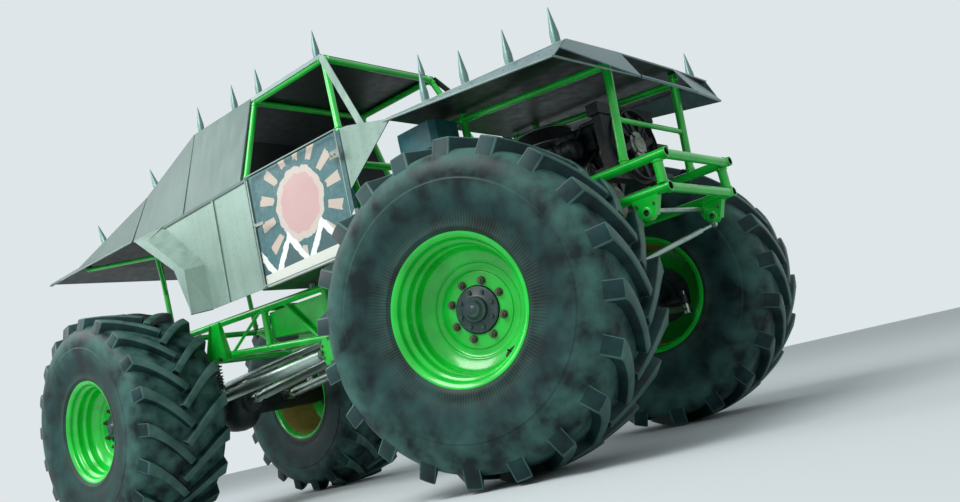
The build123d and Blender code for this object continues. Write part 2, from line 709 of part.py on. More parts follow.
def spike(base, lean=0):
    """Pointed bar standing on base, leaning back by an angle in degrees."""
    slant = math.radians(lean)
    plane = Plane(origin=base, x_dir=(math.cos(slant), 0, math.sin(slant)), z_dir=(-math.sin(slant), 0, math.cos(slant)))
    ring_loft(plane, [(-6, SPIKE_RADIUS), (64, SPIKE_RADIUS), (SPIKE_LENGTH, 1.5)], SPIKE_SIDES)


with BuildPart() as under_hood:
    section_loft(
        [
            (x, [(-HOOD_CREST_Y, z), (-HOOD_CREST_Y, z - 200), (HOOD_CREST_Y, z - 200), (HOOD_CREST_Y, z)])
            for x, z in ((HOOD_REAR_X, HOOD_REAR_Z), (HOOD_FRONT_X, HOOD_FRONT_Z))
        ]
    )
with BuildPart() as under_roof:
    section_loft(
        [(x, [(-cy, cz), (-by, bz - 1), (by, bz - 1), (cy, cz)]) for x, cy, cz, by, bz in STATIONS]
    )
with BuildPart() as hood_spikes:
    for x in (1724, 2012, 2308, 2596):
        for side in (-1, 1):
            spike((x, side * 690, HOOD_REAR_Z + (x - HOOD_REAR_X) * HOOD_SLOPE))
    cope(under_hood.part)
save(hood_spikes, "hood_spikes")
with BuildPart() as body_spikes:
    for x, y, z, lean in (
        (738, 485, 2724, 0),
        (107, 485, 2736, 0),
        (-184, 485, 2742, 0),
        (-624, 485, 2751, 0),
        (-1304, 500, 2540, 18),
        (-2104, 560, 2338, 22),
    ):
        for side in (-1, 1):
            spike((x, side * y, z), lean)
    cope(under_roof.part)
save(body_spikes, "body_spikes")

# Engine: a V of two banks on a sump, with covers on its heads
ENGINE_REAR_X = 1640
ENGINE_LENGTH = 620
ENGINE_FRONT_X = ENGINE_REAR_X + ENGINE_LENGTH
with BuildPart() as engine_block:
    with BuildSketch(Plane(origin=(ENGINE_REAR_X, 0, 0), x_dir=(0, 1, 0), z_dir=(1, 0, 0))) as block_end:
        with BuildLine():
            half = [(100, 1180), (110, 1290), (170, 1330), (250, 1450), (130, 1560), (60, 1480)]
            Polyline([(-y, z) for y, z in half] + half[::-1], close=True)
        make_face()
    extrude(block_end.sketch, amount=ENGINE_LENGTH)
    for side in (-1, 1):
        bank = Plane(origin=(ENGINE_REAR_X + 40, side * 190, 1505), x_dir=(1, 0, 0), z_dir=(0, side * 0.676, 0.737))
        with BuildSketch(bank) as cover_foot:
            Rectangle(ENGINE_LENGTH - 80, 130, align=(Align.MIN, Align.CENTER))
        with BuildSketch(bank.offset(62)) as cover_top:
            with Locations((14, 0)):
                Rectangle(ENGINE_LENGTH - 108, 92, align=(Align.MIN, Align.CENTER))
        loft([cover_foot.sketch, cover_top.sketch])
        bar((2200, side * 90, 1250), (2200, side * FRONT_RAIL_Y, 1250), TUBE)
    bar((ENGINE_REAR_X, 0, 1290), (1205, 0, 1290), 200, HUB_SIDES)
    cope(rails[-1], rails[1], crossmembers.part)
save(engine_block, "engine_block")

# Intake: a chest over the valley, four branches to each head, and a round filter on a neck
BRANCHES_X = (1730, 1875, 2020, 2165)
with BuildPart() as engine_intake:
    with BuildSketch(Plane.XY.offset(1560)) as chest:
        with Locations((1950, 0)):
            Rectangle(500, 130)
            Rectangle(170, 170)
    extrude(chest.sketch, amount=70)
    for side in (-1, 1):
        for x in BRANCHES_X:
            bar((x, side * 40, 1595), (x, side * 128, 1545), 50)
    bar((1950, 0, 1620), (1950, 0, 1700), 120)
    bar((1950, 0, 1695), (1950, 0, 1790), 330, WHEEL_SIDES)
    cope(engine_block.part)
save(engine_intake, "engine_intake")

# Exhaust: four stubs from each head into a long pipe
with BuildPart() as exhaust_headers:
    for side in (-1, 1):
        for x in BRANCHES_X:
            bar((x, side * 200, 1400), (x - 50, side * 275, 1296), 46)
        bar((2150, side * 275, 1290), (1500, side * 275, 1290), 64)
    cope(engine_block.part)
save(exhaust_headers, "exhaust_headers")

# Belt drive: pulleys of the crank, the water pump and the alternator, with their belt
PULLEYS = [
    # y, z, radius
    (0, 1260, 90),
    (0, 1518, 75),
    (-190, 1430, 45),
]
BELT_LINE = [(96, 1262), (80, 1530), (34, 1594), (-34, 1594), (-226, 1462), (-232, 1404), (-70, 1194), (30, 1168)]
with BuildPart() as belt_drive:
    for y, z, radius in PULLEYS:
        bar((ENGINE_FRONT_X + 20, y, z), (ENGINE_FRONT_X + 52, y, z), 2 * radius, HUB_SIDES)
        bar((ENGINE_FRONT_X - 40, y, z), (ENGINE_FRONT_X + 20, y, z), 1.2 * radius)
    with BuildSketch(Plane(origin=(ENGINE_FRONT_X + 22, 0, 0), x_dir=(0, 1, 0), z_dir=(1, 0, 0))) as belt:
        with BuildLine():
            Polyline(BELT_LINE, close=True)
        make_face()
        offset(amount=-8, mode=Mode.SUBTRACT)
    extrude(belt.sketch, amount=28)
    cope(engine_block.part)
save(belt_drive, "belt_drive")

# Radiator: a core between two end tanks, the lower one held by the frame's upper rails
with BuildPart() as radiator:
    for width, low, high, depth in ((520, 1370, 1690, 50), (690, 1325, 1380, 70), (560, 1680, 1740, 70)):
        with BuildSketch(Plane.XY.offset(low)) as tank:
            with Locations((2455, 0)):
                Rectangle(depth, width)
        extrude(tank.sketch, amount=high - low)
    cope(rails[-1], rails[1])
save(radiator, "radiator")
with BuildPart() as coolant_tank:
    with BuildSketch(Plane.XY.offset(1790)) as tank_foot:
        with Locations((1508, -487)):
            Rectangle(300, 240)
        chamfer(tank_foot.vertices(), 30)
    extrude(tank_foot.sketch, amount=150)
    cope(hood_frame.part)
save(coolant_tank, "coolant_tank")
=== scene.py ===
# %% [markdown]
# # A monster truck, dressed over its solid model
# The real truck is welded from steel tube, folded sheet and farm-size wheels.
# The solid model gives every size and every joint. This lesson gives each part the round tubes,
# lugs, bolts, paint and dust that the eye expects, in the same place and in metres.

import json
import math

import bmesh
import bpy
from mathutils import Matrix, Vector, geometry


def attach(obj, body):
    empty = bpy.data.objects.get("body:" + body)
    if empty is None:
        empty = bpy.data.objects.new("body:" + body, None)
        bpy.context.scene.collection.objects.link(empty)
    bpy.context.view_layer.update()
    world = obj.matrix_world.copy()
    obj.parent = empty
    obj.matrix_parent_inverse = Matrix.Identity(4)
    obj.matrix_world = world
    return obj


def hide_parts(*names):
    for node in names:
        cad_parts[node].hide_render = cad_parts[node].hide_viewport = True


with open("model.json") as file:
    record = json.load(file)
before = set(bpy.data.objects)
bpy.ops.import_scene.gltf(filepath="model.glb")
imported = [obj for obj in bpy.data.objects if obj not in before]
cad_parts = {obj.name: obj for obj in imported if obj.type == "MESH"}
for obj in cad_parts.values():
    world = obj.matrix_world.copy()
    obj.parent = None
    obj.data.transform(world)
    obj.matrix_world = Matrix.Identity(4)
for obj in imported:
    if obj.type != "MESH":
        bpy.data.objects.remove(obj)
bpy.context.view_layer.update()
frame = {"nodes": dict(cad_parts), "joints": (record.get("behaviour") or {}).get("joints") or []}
joints = {joint["name"]: joint for joint in frame["joints"]}


def rounded(place):
    """The three measures of a place, to the millimetre."""
    return [round(value, 3) for value in place]


# %% [markdown]
# ## Paint and metal
# Each finish is a small tree of nodes: one shader, with noise that breaks its colour and its gloss.
# A colour is written as the sRGB hex that a picture shows, and Blender mixes light in linear values,
# so one function turns the first into the second. Another adds a node with its settings and links.
# A Mix node keeps sockets for several kinds of data: its share is input 0, its colours are inputs 6
# and 7, and the mixed colour is output 2.


# %% Helpers for materials
def linear(hex_colour):
    """Linear red, green, blue and alpha of an sRGB hex colour."""
    channels = [int(hex_colour[start : start + 2], 16) / 255 for start in (1, 3, 5)]
    return [c / 12.92 if c <= 0.04045 else ((c + 0.055) / 1.055) ** 2.4 for c in channels] + [1.0]


def add_node(tree, kind, values=None, links=None, **options):
    """Add a node, set its options and socket values, and link other nodes' outputs into it."""
    node = tree.nodes.new("ShaderNode" + kind)
    for option, value in options.items():
        setattr(node, option, value)
    for socket, value in (values or {}).items():
        node.inputs[socket].default_value = value
    for socket, source in (links or {}).items():
        tree.links.new(source, node.inputs[socket])
    return node


def start_finish(name, **values):
    """A new material with its shader's plain values set; underscores stand for spaces."""
    material = bpy.data.materials.new(name)
    material.use_nodes = True
    tree = material.node_tree
    shader = tree.nodes["Principled BSDF"]
    for socket, value in values.items():
        shader.inputs[socket.replace("_", " ")].default_value = value
    coordinates = add_node(tree, "TexCoord").outputs["Object"]
    return material, tree, shader, coordinates


def drive(tree, shader, **sources):
    """Link other nodes' outputs into the shader; underscores stand for spaces."""
    for socket, source in sources.items():
        tree.links.new(source, shader.inputs[socket.replace("_", " ")])


def speckle(tree, where, size_mm, detail=4.0, low=0.35, high=0.65):
    """Noise whose blotches are about size_mm wide, spread to run from 0 to 1."""
    noise = add_node(tree, "TexNoise", {"Scale": 1000 / size_mm, "Detail": detail}, {"Vector": where})
    spread = add_node(tree, "MapRange", {"From Min": low, "From Max": high}, {"Value": noise.outputs["Fac"]})
    return spread.outputs["Result"]


# %% [markdown]
# ## Green powder coat
# The tubes and rims wear a vivid green, sprayed as powder and baked. It is smooth and glossy, with
# a faint orange-peel ripple about 3 mm across, and road dust lies over it in soft patches.


# %% Green powder coat
def make_green_powder_coat():
    """Glossy green with an orange-peel ripple, under patches of dust."""
    material, tree, shader, where = start_finish("green_powder_coat", Coat_Weight=0.4, Coat_Roughness=0.12)
    dust = speckle(tree, where, 90, 6.0, 0.6, 0.95)
    greens = {6: linear("#08ad2c"), 7: linear("#10cf3c")}
    tint = add_node(tree, "Mix", greens, {0: speckle(tree, where, 220)}, data_type="RGBA").outputs[2]
    colour = add_node(tree, "Mix", {7: linear("#1caa3e")}, {0: dust, 6: tint}, data_type="RGBA").outputs[2]
    gloss = add_node(tree, "MapRange", {"To Min": 0.24, "To Max": 0.5}, {"Value": dust}).outputs[0]
    peel = speckle(tree, where, 3, 2.0)
    ripple = add_node(tree, "Bump", {"Strength": 0.25, "Distance": 0.00008}, {"Height": peel}).outputs[0]
    drive(tree, shader, Base_Color=colour, Roughness=gloss, Normal=ripple)
    return material


green_powder_coat = make_green_powder_coat()
print("made", green_powder_coat.name)

# %% [markdown]
# ## Weathered sheet steel
# The body is painted sheet, grey with a green cast. Rain and wiping have drawn streaks down it, a hand's
# width apart, and the sun has paled it in clouds. The streaks are noise stretched along z. Faces that
# look down are painted near-black as painted shade of the underside: the shader knows them by the z of
# their normal, so the panels need no second material.


# %% Weathered sheet steel
def make_weathered_sheet(name, dark, light, stain, shaded_below):
    """Streaked sheet; faces whose normal has a z less than shaded_below are near-black painted shade."""
    material, tree, shader, where = start_finish(name)
    stretched = add_node(tree, "Mapping", {"Scale": (1.0, 1.0, 0.07)}, {"Vector": where}).outputs["Vector"]
    streaks = speckle(tree, stretched, 70, 5.0, 0.3, 0.7)
    faint = add_node(tree, "Math", {1: 0.4}, {0: streaks}, operation="MULTIPLY").outputs[0]
    normal = add_node(tree, "TexCoord").outputs["Normal"]
    upwards = add_node(tree, "SeparateXYZ", links={"Vector": normal}).outputs[2]
    under = add_node(tree, "Math", {1: shaded_below}, {0: upwards}, operation="LESS_THAN").outputs[0]
    layers = [
        # where the layer lies, and its colour
        (faint, stain),
        (speckle(tree, where, 14, 8.0, 0.62, 0.8), "#4b5a54"),
        # painted shade: near-black on the faces that look down
        (under, "#161b1b"),
    ]
    paints = {6: linear(dark), 7: linear(light)}
    clouds = speckle(tree, where, 600, 5.0)
    colour = add_node(tree, "Mix", paints, {0: clouds}, data_type="RGBA").outputs[2]
    for share, layer in layers:
        spread = {0: share, 6: colour}
        colour = add_node(tree, "Mix", {7: linear(layer)}, spread, data_type="RGBA").outputs[2]
    # The painted shade on the faces that look down is not metallic
    metal = add_node(tree, "MapRange", {"To Min": 0.4, "To Max": 0.0}, {"Value": under}).outputs[0]
    gloss = add_node(tree, "MapRange", {"To Min": 0.36, "To Max": 0.52}, {"Value": streaks}).outputs[0]
    hollows = speckle(tree, where, 160, 3.0)
    dents = add_node(tree, "Bump", {"Strength": 0.3, "Distance": 0.0012}, {"Height": hollows}).outputs[0]
    drive(tree, shader, Base_Color=colour, Metallic=metal, Roughness=gloss, Normal=dents)
    return material


# The lower panels are the palest and the upper ones the darkest; the hood lies between, a little bluer
lower_sheet = make_weathered_sheet("lower_panel_sheet_steel", "#6d867b", "#86a095", "#9fb7a9", -0.12)
upper_sheet = make_weathered_sheet("upper_panel_sheet_steel", "#40544e", "#4e655e", "#657c76", -0.12)
hood_sheet = make_weathered_sheet("hood_sheet_steel", "#5c7375", "#70888a", "#8fa4a4", -0.9)
# Rolled edges and folded trim, with no painted shade below: no normal's z is less than -1
edge_sheet = make_weathered_sheet("rolled_edge_sheet_steel", "#6d8480", "#8aa19b", "#a3b6ae", -2.0)
print("made", lower_sheet.name, upper_sheet.name, hood_sheet.name, edge_sheet.name)

# %% [markdown]
# ## Tyre rubber
# Rubber is nearly black, with a dull grey-green film of dust in soft patches. Towards the shoulder the
# patches turn a paler grey-green, partly dust and partly a painted sheen of the sky. Fine moulded ribs
# point at the axle just outside the rim, where wear has paled them to a fringe. To follow the round, the
# casing carries its own UV map: u runs once round, and v is the distance from the axle in metres. The
# lugs need no map: their sides are dark rubber, and their tops and worn edges are a second, paler one,
# partly scuffing and partly a painted highlight.


# %% Tyre rubber
RIB_COUNT = 180


def make_tyre_rubber(name, dark, pale, ribs):
    """Rubber with dust; where ribs is true, sidewall ribs and a shoulder paled by dust and painted sheen."""
    material, tree, shader, where = start_finish(name, Specular_IOR_Level=0.24)
    patches = speckle(tree, where, 130, 5.0, 0.35, 0.7)
    rubber = {6: linear(dark), 7: linear(pale)}
    colour = add_node(tree, "Mix", rubber, {0: patches}, data_type="RGBA").outputs[2]
    height = speckle(tree, where, 7, 4.0, 0.3, 0.8)
    if ribs:
        unwrapped = add_node(tree, "TexCoord").outputs["UV"]
        around, out = add_node(tree, "SeparateXYZ", links={"Vector": unwrapped}).outputs[:2]
        phase = add_node(tree, "Math", {1: math.tau * RIB_COUNT}, {0: around}, operation="MULTIPLY")
        rib = add_node(tree, "Math", links={0: phase.outputs[0]}, operation="SINE").outputs[0]
        rib_reach = {"From Min": 0.47, "From Max": 0.37}
        near_rim = add_node(tree, "MapRange", rib_reach, {"Value": out}).outputs["Result"]
        ribbed = add_node(tree, "Math", links={0: rib, 1: near_rim}, operation="MULTIPLY").outputs[0]
        relief = add_node(tree, "Math", {1: 0.25}, {0: height, 2: ribbed}, operation="MULTIPLY_ADD")
        height = relief.outputs[0]
        worn_rib = add_node(tree, "Math", {1: 0.16, 2: 0.10}, {0: rib}, operation="MULTIPLY_ADD").outputs[0]
        fringe = add_node(tree, "Math", links={0: near_rim, 1: worn_rib}, operation="MULTIPLY").outputs[0]
        shoulder_reach = {"From Min": 0.50, "From Max": 0.76, "To Max": 0.8}
        shoulder = add_node(tree, "MapRange", shoulder_reach, {"Value": out}).outputs["Result"]
        shoulder_dust_and_sheen = add_node(tree, "Math", links={0: shoulder, 1: patches}, operation="MULTIPLY").outputs[0]
        # The shoulder's pale grey-green is partly dust and partly a painted sheen of the sky
        for share, layer in ((fringe, "#5d6a50"), (shoulder_dust_and_sheen, "#4f7a70")):
            spread = {0: share, 6: colour}
            colour = add_node(tree, "Mix", {7: linear(layer)}, spread, data_type="RGBA").outputs[2]
    gloss = add_node(tree, "MapRange", {"To Min": 0.42, "To Max": 0.62}, {"Value": patches}).outputs[0]
    bump = add_node(tree, "Bump", {"Strength": 0.35, "Distance": 0.0005}, {"Height": height}).outputs[0]
    drive(tree, shader, Base_Color=colour, Roughness=gloss, Normal=bump)
    return material


casing_rubber = make_tyre_rubber("casing_rubber", "#071b1e", "#1d4442", ribs=True)
# The lugs' tops and edges are paler than their sides: partly scuffing, partly a painted highlight
lug_side_rubber = make_tyre_rubber("lug_side_rubber", "#081d20", "#1c4142", ribs=False)
scuffed_and_lit_lug_rubber = make_tyre_rubber("scuffed_lug_rubber", "#2f504b", "#517269", ribs=False)
print("made", casing_rubber.name, lug_side_rubber.name, scuffed_and_lit_lug_rubber.name)

# %% [markdown]
# ## Dark steel, bright steel, iron, aluminium and plastics
# The axles are brushed with black chassis paint and the hubs with grey enamel. The links are worn to
# bright metal, and the engine is oily cast iron with aluminium parts. One function makes them all:
# they differ in two colours, in gloss, in how metallic they are and in the size of their grain.


# %% The other finishes
def make_worked_surface(name, main, worn, metallic, smooth, rough, grain_mm, depth_mm):
    """Surface of one colour, half worn to another in patches a dozen grains wide."""
    material, tree, shader, where = start_finish(name, Metallic=metallic)
    patches = speckle(tree, where, grain_mm * 12, 6.0, 0.45, 0.8)
    share = add_node(tree, "Math", {1: 0.5}, {0: patches}, operation="MULTIPLY").outputs[0]
    colours = {6: linear(main), 7: linear(worn)}
    colour = add_node(tree, "Mix", colours, {0: share}, data_type="RGBA").outputs[2]
    gloss = add_node(tree, "MapRange", {"To Min": smooth, "To Max": rough}, {"Value": patches}).outputs[0]
    height = speckle(tree, where, grain_mm, 3.0)
    grain = add_node(tree, "Bump", {"Strength": 0.4, "Distance": depth_mm / 1000}, {"Height": height})
    drive(tree, shader, Base_Color=colour, Roughness=gloss, Normal=grain.outputs[0])
    return material


# Chassis paint brushed on forged steel, dusty in patches
black_chassis_paint = make_worked_surface("black_chassis_paint", "#141d21", "#3a4a4b", 0.0, 0.38, 0.7, 4, 0.3)
# Thick grey enamel on the hubs, paler where dust has settled
hub_enamel = make_worked_surface("grey_hub_enamel", "#25383b", "#4a5f60", 0.0, 0.35, 0.6, 4, 0.2)
# Drawn steel bar, worn bright where hands and stones have rubbed it
bright_bar_steel = make_worked_surface("bright_bar_steel", "#a9bdb4", "#6f827b", 1.0, 0.3, 0.5, 5, 0.1)
# Zinc plate of bolts, rivets, springs and pulleys, dulled by weather
dull_zinc = make_worked_surface("dull_zinc_plate", "#858d83", "#4a4a40", 1.0, 0.35, 0.6, 3, 0.1)
# Steel wheel nuts, brown with rust where the plating has gone
browned_nut_steel = make_worked_surface("browned_nut_steel", "#5e6350", "#3a2f20", 0.6, 0.4, 0.65, 3, 0.1)
# Matt black paint of the radiator and its fan, and painted shade inside tubes and holes
radiator_black = make_worked_surface("radiator_black", "#0b0f11", "#1a2022", 0.0, 0.55, 0.75, 3, 0.3)
# Sand-cast iron, dark with oil
oily_iron = make_worked_surface("oily_cast_iron", "#161d20", "#323b3b", 0.3, 0.4, 0.75, 3, 0.5)
# Die-cast aluminium, grey and a little rough
cast_aluminium = make_worked_surface("cast_aluminium", "#7d8886", "#4c5654", 1.0, 0.38, 0.6, 4, 0.25)
# Steel pipe browned and greyed by heat
heated_steel = make_worked_surface("heat_browned_steel", "#57524a", "#302a26", 0.9, 0.4, 0.65, 5, 0.15)
# Steel tube drawn to spikes, mill scale still on it
spike_steel = make_worked_surface("scaled_spike_steel", "#5f7d78", "#87a19b", 0.7, 0.38, 0.6, 6, 0.2)
# Injection-moulded black plastic with a fine spark-eroded grain
black_plastic = make_worked_surface("moulded_black_plastic", "#15191b", "#272d2f", 0.0, 0.45, 0.6, 2, 0.15)
# Blow-moulded polyethylene of the tank
teal_plastic = make_worked_surface("blown_teal_plastic", "#24585e", "#3b8286", 0.0, 0.35, 0.5, 6, 0.3)
# Ochre primer left on the rims' inner side
rim_primer = make_worked_surface("ochre_rim_primer", "#8f8440", "#4f4a27", 0.0, 0.5, 0.8, 6, 0.3)
# Woven seat cloth over foam
seat_cloth = make_worked_surface("woven_seat_cloth", "#1b2124", "#30383b", 0.0, 0.85, 0.95, 3, 0.6)
# Black rubber of the drive belt, and the filter's sooty pleats
belt_rubber = make_worked_surface("black_belt_rubber", "#121516", "#23292a", 0.0, 0.55, 0.75, 2, 0.2)
print("made", len(bpy.data.materials), "materials")

# %% [markdown]
# ## Shapes and pieces
# A piece is one bmesh, filled by a few operators and then written to an object. A turned part is an
# outline spun round an axle, a tube is a cone whose two ends are alike, and a plate is a flat face with
# a thickness. Each shape is put in its place as it is made, so the object itself stays at the origin.
# Helpers for one kind of shape stand where it is first used.


# %% Spin an outline and put a shape in its place
def add_shape(piece, shape, matrix):
    """Copy a shape into a piece at a place, turning its faces back out where the place mirrors it."""
    mesh = bpy.data.meshes.new("shape")
    shape.to_mesh(mesh)
    mesh.transform(matrix)
    if matrix.determinant() < 0:
        mesh.flip_normals()
    piece.from_mesh(mesh)
    bpy.data.meshes.remove(mesh)


def spun(outline, steps=64, closed=False):
    """Turn an outline of (distance along z, radius) once round the z axis."""
    shape = bmesh.new()
    corners = [shape.verts.new((radius, 0, along)) for along, radius in outline]
    edges = [shape.edges.new(pair) for pair in zip(corners, corners[1:])]
    if closed:
        edges.append(shape.edges.new((corners[-1], corners[0])))
    bmesh.ops.spin(
        shape, geom=corners + edges, cent=(0, 0, 0), axis=(0, 0, 1), angle=math.tau, steps=steps,
        use_merge=True,
    )
    bmesh.ops.remove_doubles(shape, verts=shape.verts, dist=1e-6)
    bmesh.ops.recalc_face_normals(shape, faces=shape.faces)
    return shape


def lay_along(start, end):
    """Matrix that lays the z axis from start towards end, and the distance between them."""
    run = Vector(end) - Vector(start)
    turn = run.to_track_quat("Z", "Y").to_matrix().to_4x4()
    return Matrix.Translation(start) @ turn, run.length


# %% Write a piece to an object
def finish_piece(piece, name, body, finish, replaces=(), sharp=35):
    """Write a piece's mesh to an object that rides on a body, shaded smooth up to an angle."""
    mesh = bpy.data.meshes.new(name)
    piece.to_mesh(mesh)
    piece.free()
    for polygon in mesh.polygons:
        polygon.use_smooth = True
    mesh.set_sharp_from_angle(angle=math.radians(sharp))
    made = bpy.data.objects.new(name, mesh)
    bpy.context.scene.collection.objects.link(made)
    for material in finish if isinstance(finish, (list, tuple)) else [finish]:
        mesh.materials.append(material)
    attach(made, body)
    if replaces:
        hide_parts(*replaces)
    print(name, len(mesh.polygons), "faces")
    return made


# %% [markdown]
# ## Wheels
# All four wheels are alike, so one is modelled in its own frame, with x up and z along the axle towards
# the outside, and then copied to four places. The left ones are mirrored, so that both treads point
# the same way. The joints of the frame say where each wheel stands and how it is steered.


# %% Where the wheels stand
def wheel_place(wheel):
    """Matrix from a wheel's own frame to the truck's."""
    joint = joints["roll_" + wheel]
    centre, axle = Vector(joint["pos_m"]), Vector(joint["axis"]).normalized()
    outward = axle if centre.y > 0 else -axle
    up = Vector((0, 0, 1))
    turn = Matrix((up, outward.cross(up), outward)).transposed().to_4x4()
    mirror = Matrix.Scale(-1, 4, (0, 1, 0)) if centre.y > 0 else Matrix.Identity(4)
    return Matrix.Translation(centre) @ turn @ mirror


WHEELS = ("fr", "fl", "rr", "rl")
ROLLING_RADIUS = 0.8
for wheel in WHEELS:
    print(f"wheel_{wheel} stands at", rounded(wheel_place(wheel).translation))

# %% [markdown]
# ### The casing
# A tyre's casing is moulded in one piece: a bead that sits on the rim, a bulging sidewall and a low
# crown. It is an outline spun round the axle, because every section of it is alike. Its UV map is
# written from each corner's angle and distance, so the ribs of the rubber point at the axle.

# %% Spin the casing
SIDEWALL = [
    # distance from the tyre's middle, radius
    (0.293, 0.330),
    (0.299, 0.350),
    (0.306, 0.362),
    (0.316, 0.372),
    (0.318, 0.384),
    (0.316, 0.392),
    (0.324, 0.420),
    (0.336, 0.470),
    (0.344, 0.520),
    (0.348, 0.560),
    (0.3495, 0.585),
    (0.3475, 0.588),
    (0.3475, 0.598),
    (0.348, 0.601),
    (0.345, 0.640),
    (0.338, 0.670),
    (0.326, 0.696),
    (0.306, 0.717),
    (0.276, 0.731),
    (0.225, 0.740),
    (0.120, 0.748),
    (0.040, 0.751),
]
casing_outline = [(-out, radius) for out, radius in SIDEWALL] + SIDEWALL[::-1]
casing = spun(casing_outline, steps=120, closed=True)
unwrap = casing.loops.layers.uv.new("round_and_out")
for face in casing.faces:
    middle = face.calc_center_median()
    face_turn = math.atan2(middle.y, middle.x)
    for loop in face.loops:
        spot = loop.vert.co
        turn = math.atan2(spot.y, spot.x)
        turn += math.tau * round((face_turn - turn) / math.tau)
        loop[unwrap].uv = (turn / math.tau, math.hypot(spot.x, spot.y))
print("casing", len(casing.faces), "faces")

# %% [markdown]
# ### The lugs
# Twenty lugs a side stand about 45 mm above the casing. Each begins as a flat grid, gets a thickness,
# and is then bent: along its bar, which curves as it nears the shoulder, and round the tread. At the
# shoulder it widens into a block whose end runs down the sidewall. Bending a flat grid keeps its faces
# regular, so a bevel can wear its edges evenly. The worn edges and the tops take the paler rubber:
# partly scuffing, partly a painted highlight.

# %% Bend forty lugs round the casing
LUG_COUNT = 20
LUG_PITCH = math.tau / LUG_COUNT
CORNER_TURN = math.asin(0.172 / (ROLLING_RADIUS / math.cos(LUG_PITCH / 4)))


def bend_lug(vert, row, start_turn):
    """Move a vertex of the flat lug to its place on the tread."""
    along = vert.co.x + 0.5
    side = 2 * vert.co.y
    depth = -vert.co.z
    out = -0.022 + 0.322 * along
    around = -0.141 + 0.268 * (1 - (1 - along) ** 1.3)
    blocky = along**2.2
    half_out = 0.0175 * (1 - blocky)
    half_around = -0.017 * (1 - blocky) - 0.044 * blocky
    flare = 1 + 0.3 * depth
    out += side * half_out * flare
    around += side * half_around * flare
    crown = ROLLING_RADIUS - 0.010 * (out / 0.3) ** 2
    foot = 0.735 - 0.010 * along
    end = max(0.0, (along - 0.8) / 0.2) ** 1.5
    foot -= 0.085 * end
    out += 0.039 * end * depth
    radius = crown + (foot - crown) * depth
    turn = start_turn + around / crown
    vert.co = (radius * math.cos(turn), radius * math.sin(turn), row * out)


tread = bmesh.new()
for row in (1, -1):
    for step in range(LUG_COUNT):
        start_turn = math.pi - CORNER_TURN - row * LUG_PITCH / 4 + step * LUG_PITCH
        lug = bmesh.new()
        bmesh.ops.create_grid(lug, x_segments=9, y_segments=2, size=0.5)
        bmesh.ops.solidify(lug, geom=lug.faces[:], thickness=1.0)
        lowest = min(vert.co.z for vert in lug.verts)
        highest = max(vert.co.z for vert in lug.verts)
        for vert in lug.verts:
            vert.co.z = (vert.co.z - highest) / (highest - lowest)
        top_edges = [
            edge
            for edge in lug.edges
            if edge.is_manifold
            and edge.calc_face_angle() > 1.0
            and max(vert.co.z for vert in edge.verts) > -0.5
        ]
        for vert in lug.verts:
            bend_lug(vert, row, start_turn)
        bmesh.ops.recalc_face_normals(lug, faces=lug.faces)
        worn = bmesh.ops.bevel(
            lug, geom=top_edges, offset=0.007, offset_type="OFFSET", affect="EDGES", segments=2,
            profile=0.5, material=-1,
        )["faces"]
        # Bevelled edges and faces that look outwards take the paler rubber: partly scuffing, partly painted
        # highlight
        for face in lug.faces:
            middle = face.calc_center_median()
            face.normal_update()
            outward = Vector((middle.x, middle.y, 0)).normalized()
            face.material_index = 1 if face in worn or face.normal.dot(outward) > 0.8 else 0
        add_shape(tread, lug, Matrix.Identity(4))
        lug.free()
print("tread", len(tread.faces), "faces")

# %% [markdown]
# ### The rim
# A deep 26 inch rim is rolled from steel: a round lip, two ribs rolled into the barrel to stiffen it, a
# cone that runs in to a thin bead, and a flat disc that carries the hub. The section is drawn once round
# its wall, out along the front and back along the inside, and spun. The inner side keeps its primer.

# %% Spin the rim
RIM_FRONT = [
    # distance from the rim's middle, radius
    (0.2940, 0.3310),
    (0.2975, 0.3500),
    (0.3010, 0.3545),
    (0.3036, 0.3530),
    (0.3040, 0.3480),
    (0.3000, 0.3400),
    (0.2940, 0.3300),
    (0.2890, 0.3255),
    (0.2820, 0.3245),
    (0.2700, 0.3235),
    (0.2630, 0.3210),
    (0.2575, 0.3150),
    (0.2535, 0.3070),
    (0.2495, 0.3030),
    (0.2430, 0.3010),
    (0.2365, 0.3015),
    (0.2310, 0.3040),
    (0.2240, 0.3055),
    (0.2060, 0.3050),
    (0.2000, 0.3025),
    (0.1955, 0.2960),
    (0.1910, 0.2915),
    (0.1850, 0.2895),
    (0.1790, 0.2900),
    (0.1730, 0.2920),
    (0.1600, 0.2925),
    (0.1480, 0.2910),
    (0.1400, 0.2865),
    (0.1320, 0.2790),
    (0.1220, 0.2640),
    (0.1150, 0.2480),
    (0.1100, 0.2350),
    (0.1088, 0.2300),
    (0.1096, 0.2275),
    (0.1085, 0.2248),
    (0.1020, 0.2215),
    (0.0975, 0.2150),
    (0.0960, 0.2050),
    (0.0965, 0.1930),
    (0.0985, 0.1850),
    (0.1030, 0.1815),
    (0.1040, 0.1790),
    (0.1040, 0.1215),
    (0.1066, 0.1200),
    (0.1070, 0.1175),
    (0.1062, 0.1155),
    (0.1040, 0.1150),
]
RIM_INSIDE = [
    (0.0890, 0.1150),
    (0.0890, 0.2130),
    (0.0760, 0.2700),
    (0.0660, 0.2920),
    (-0.1500, 0.3000),
    (-0.2700, 0.3160),
    (-0.2900, 0.3310),
    (-0.3000, 0.3400),
    (-0.3040, 0.3460),
    (-0.3036, 0.3530),
    (-0.3010, 0.3545),
    (-0.2975, 0.3500),
    (-0.2940, 0.3310),
]
rim = spun(RIM_FRONT + RIM_INSIDE, steps=96, closed=True)
for face in rim.faces:
    middle = face.calc_center_median()
    face.material_index = 1 if middle.z < 0.066 and math.hypot(middle.x, middle.y) < 0.318 else 0
print("rim", len(rim.faces), "faces")

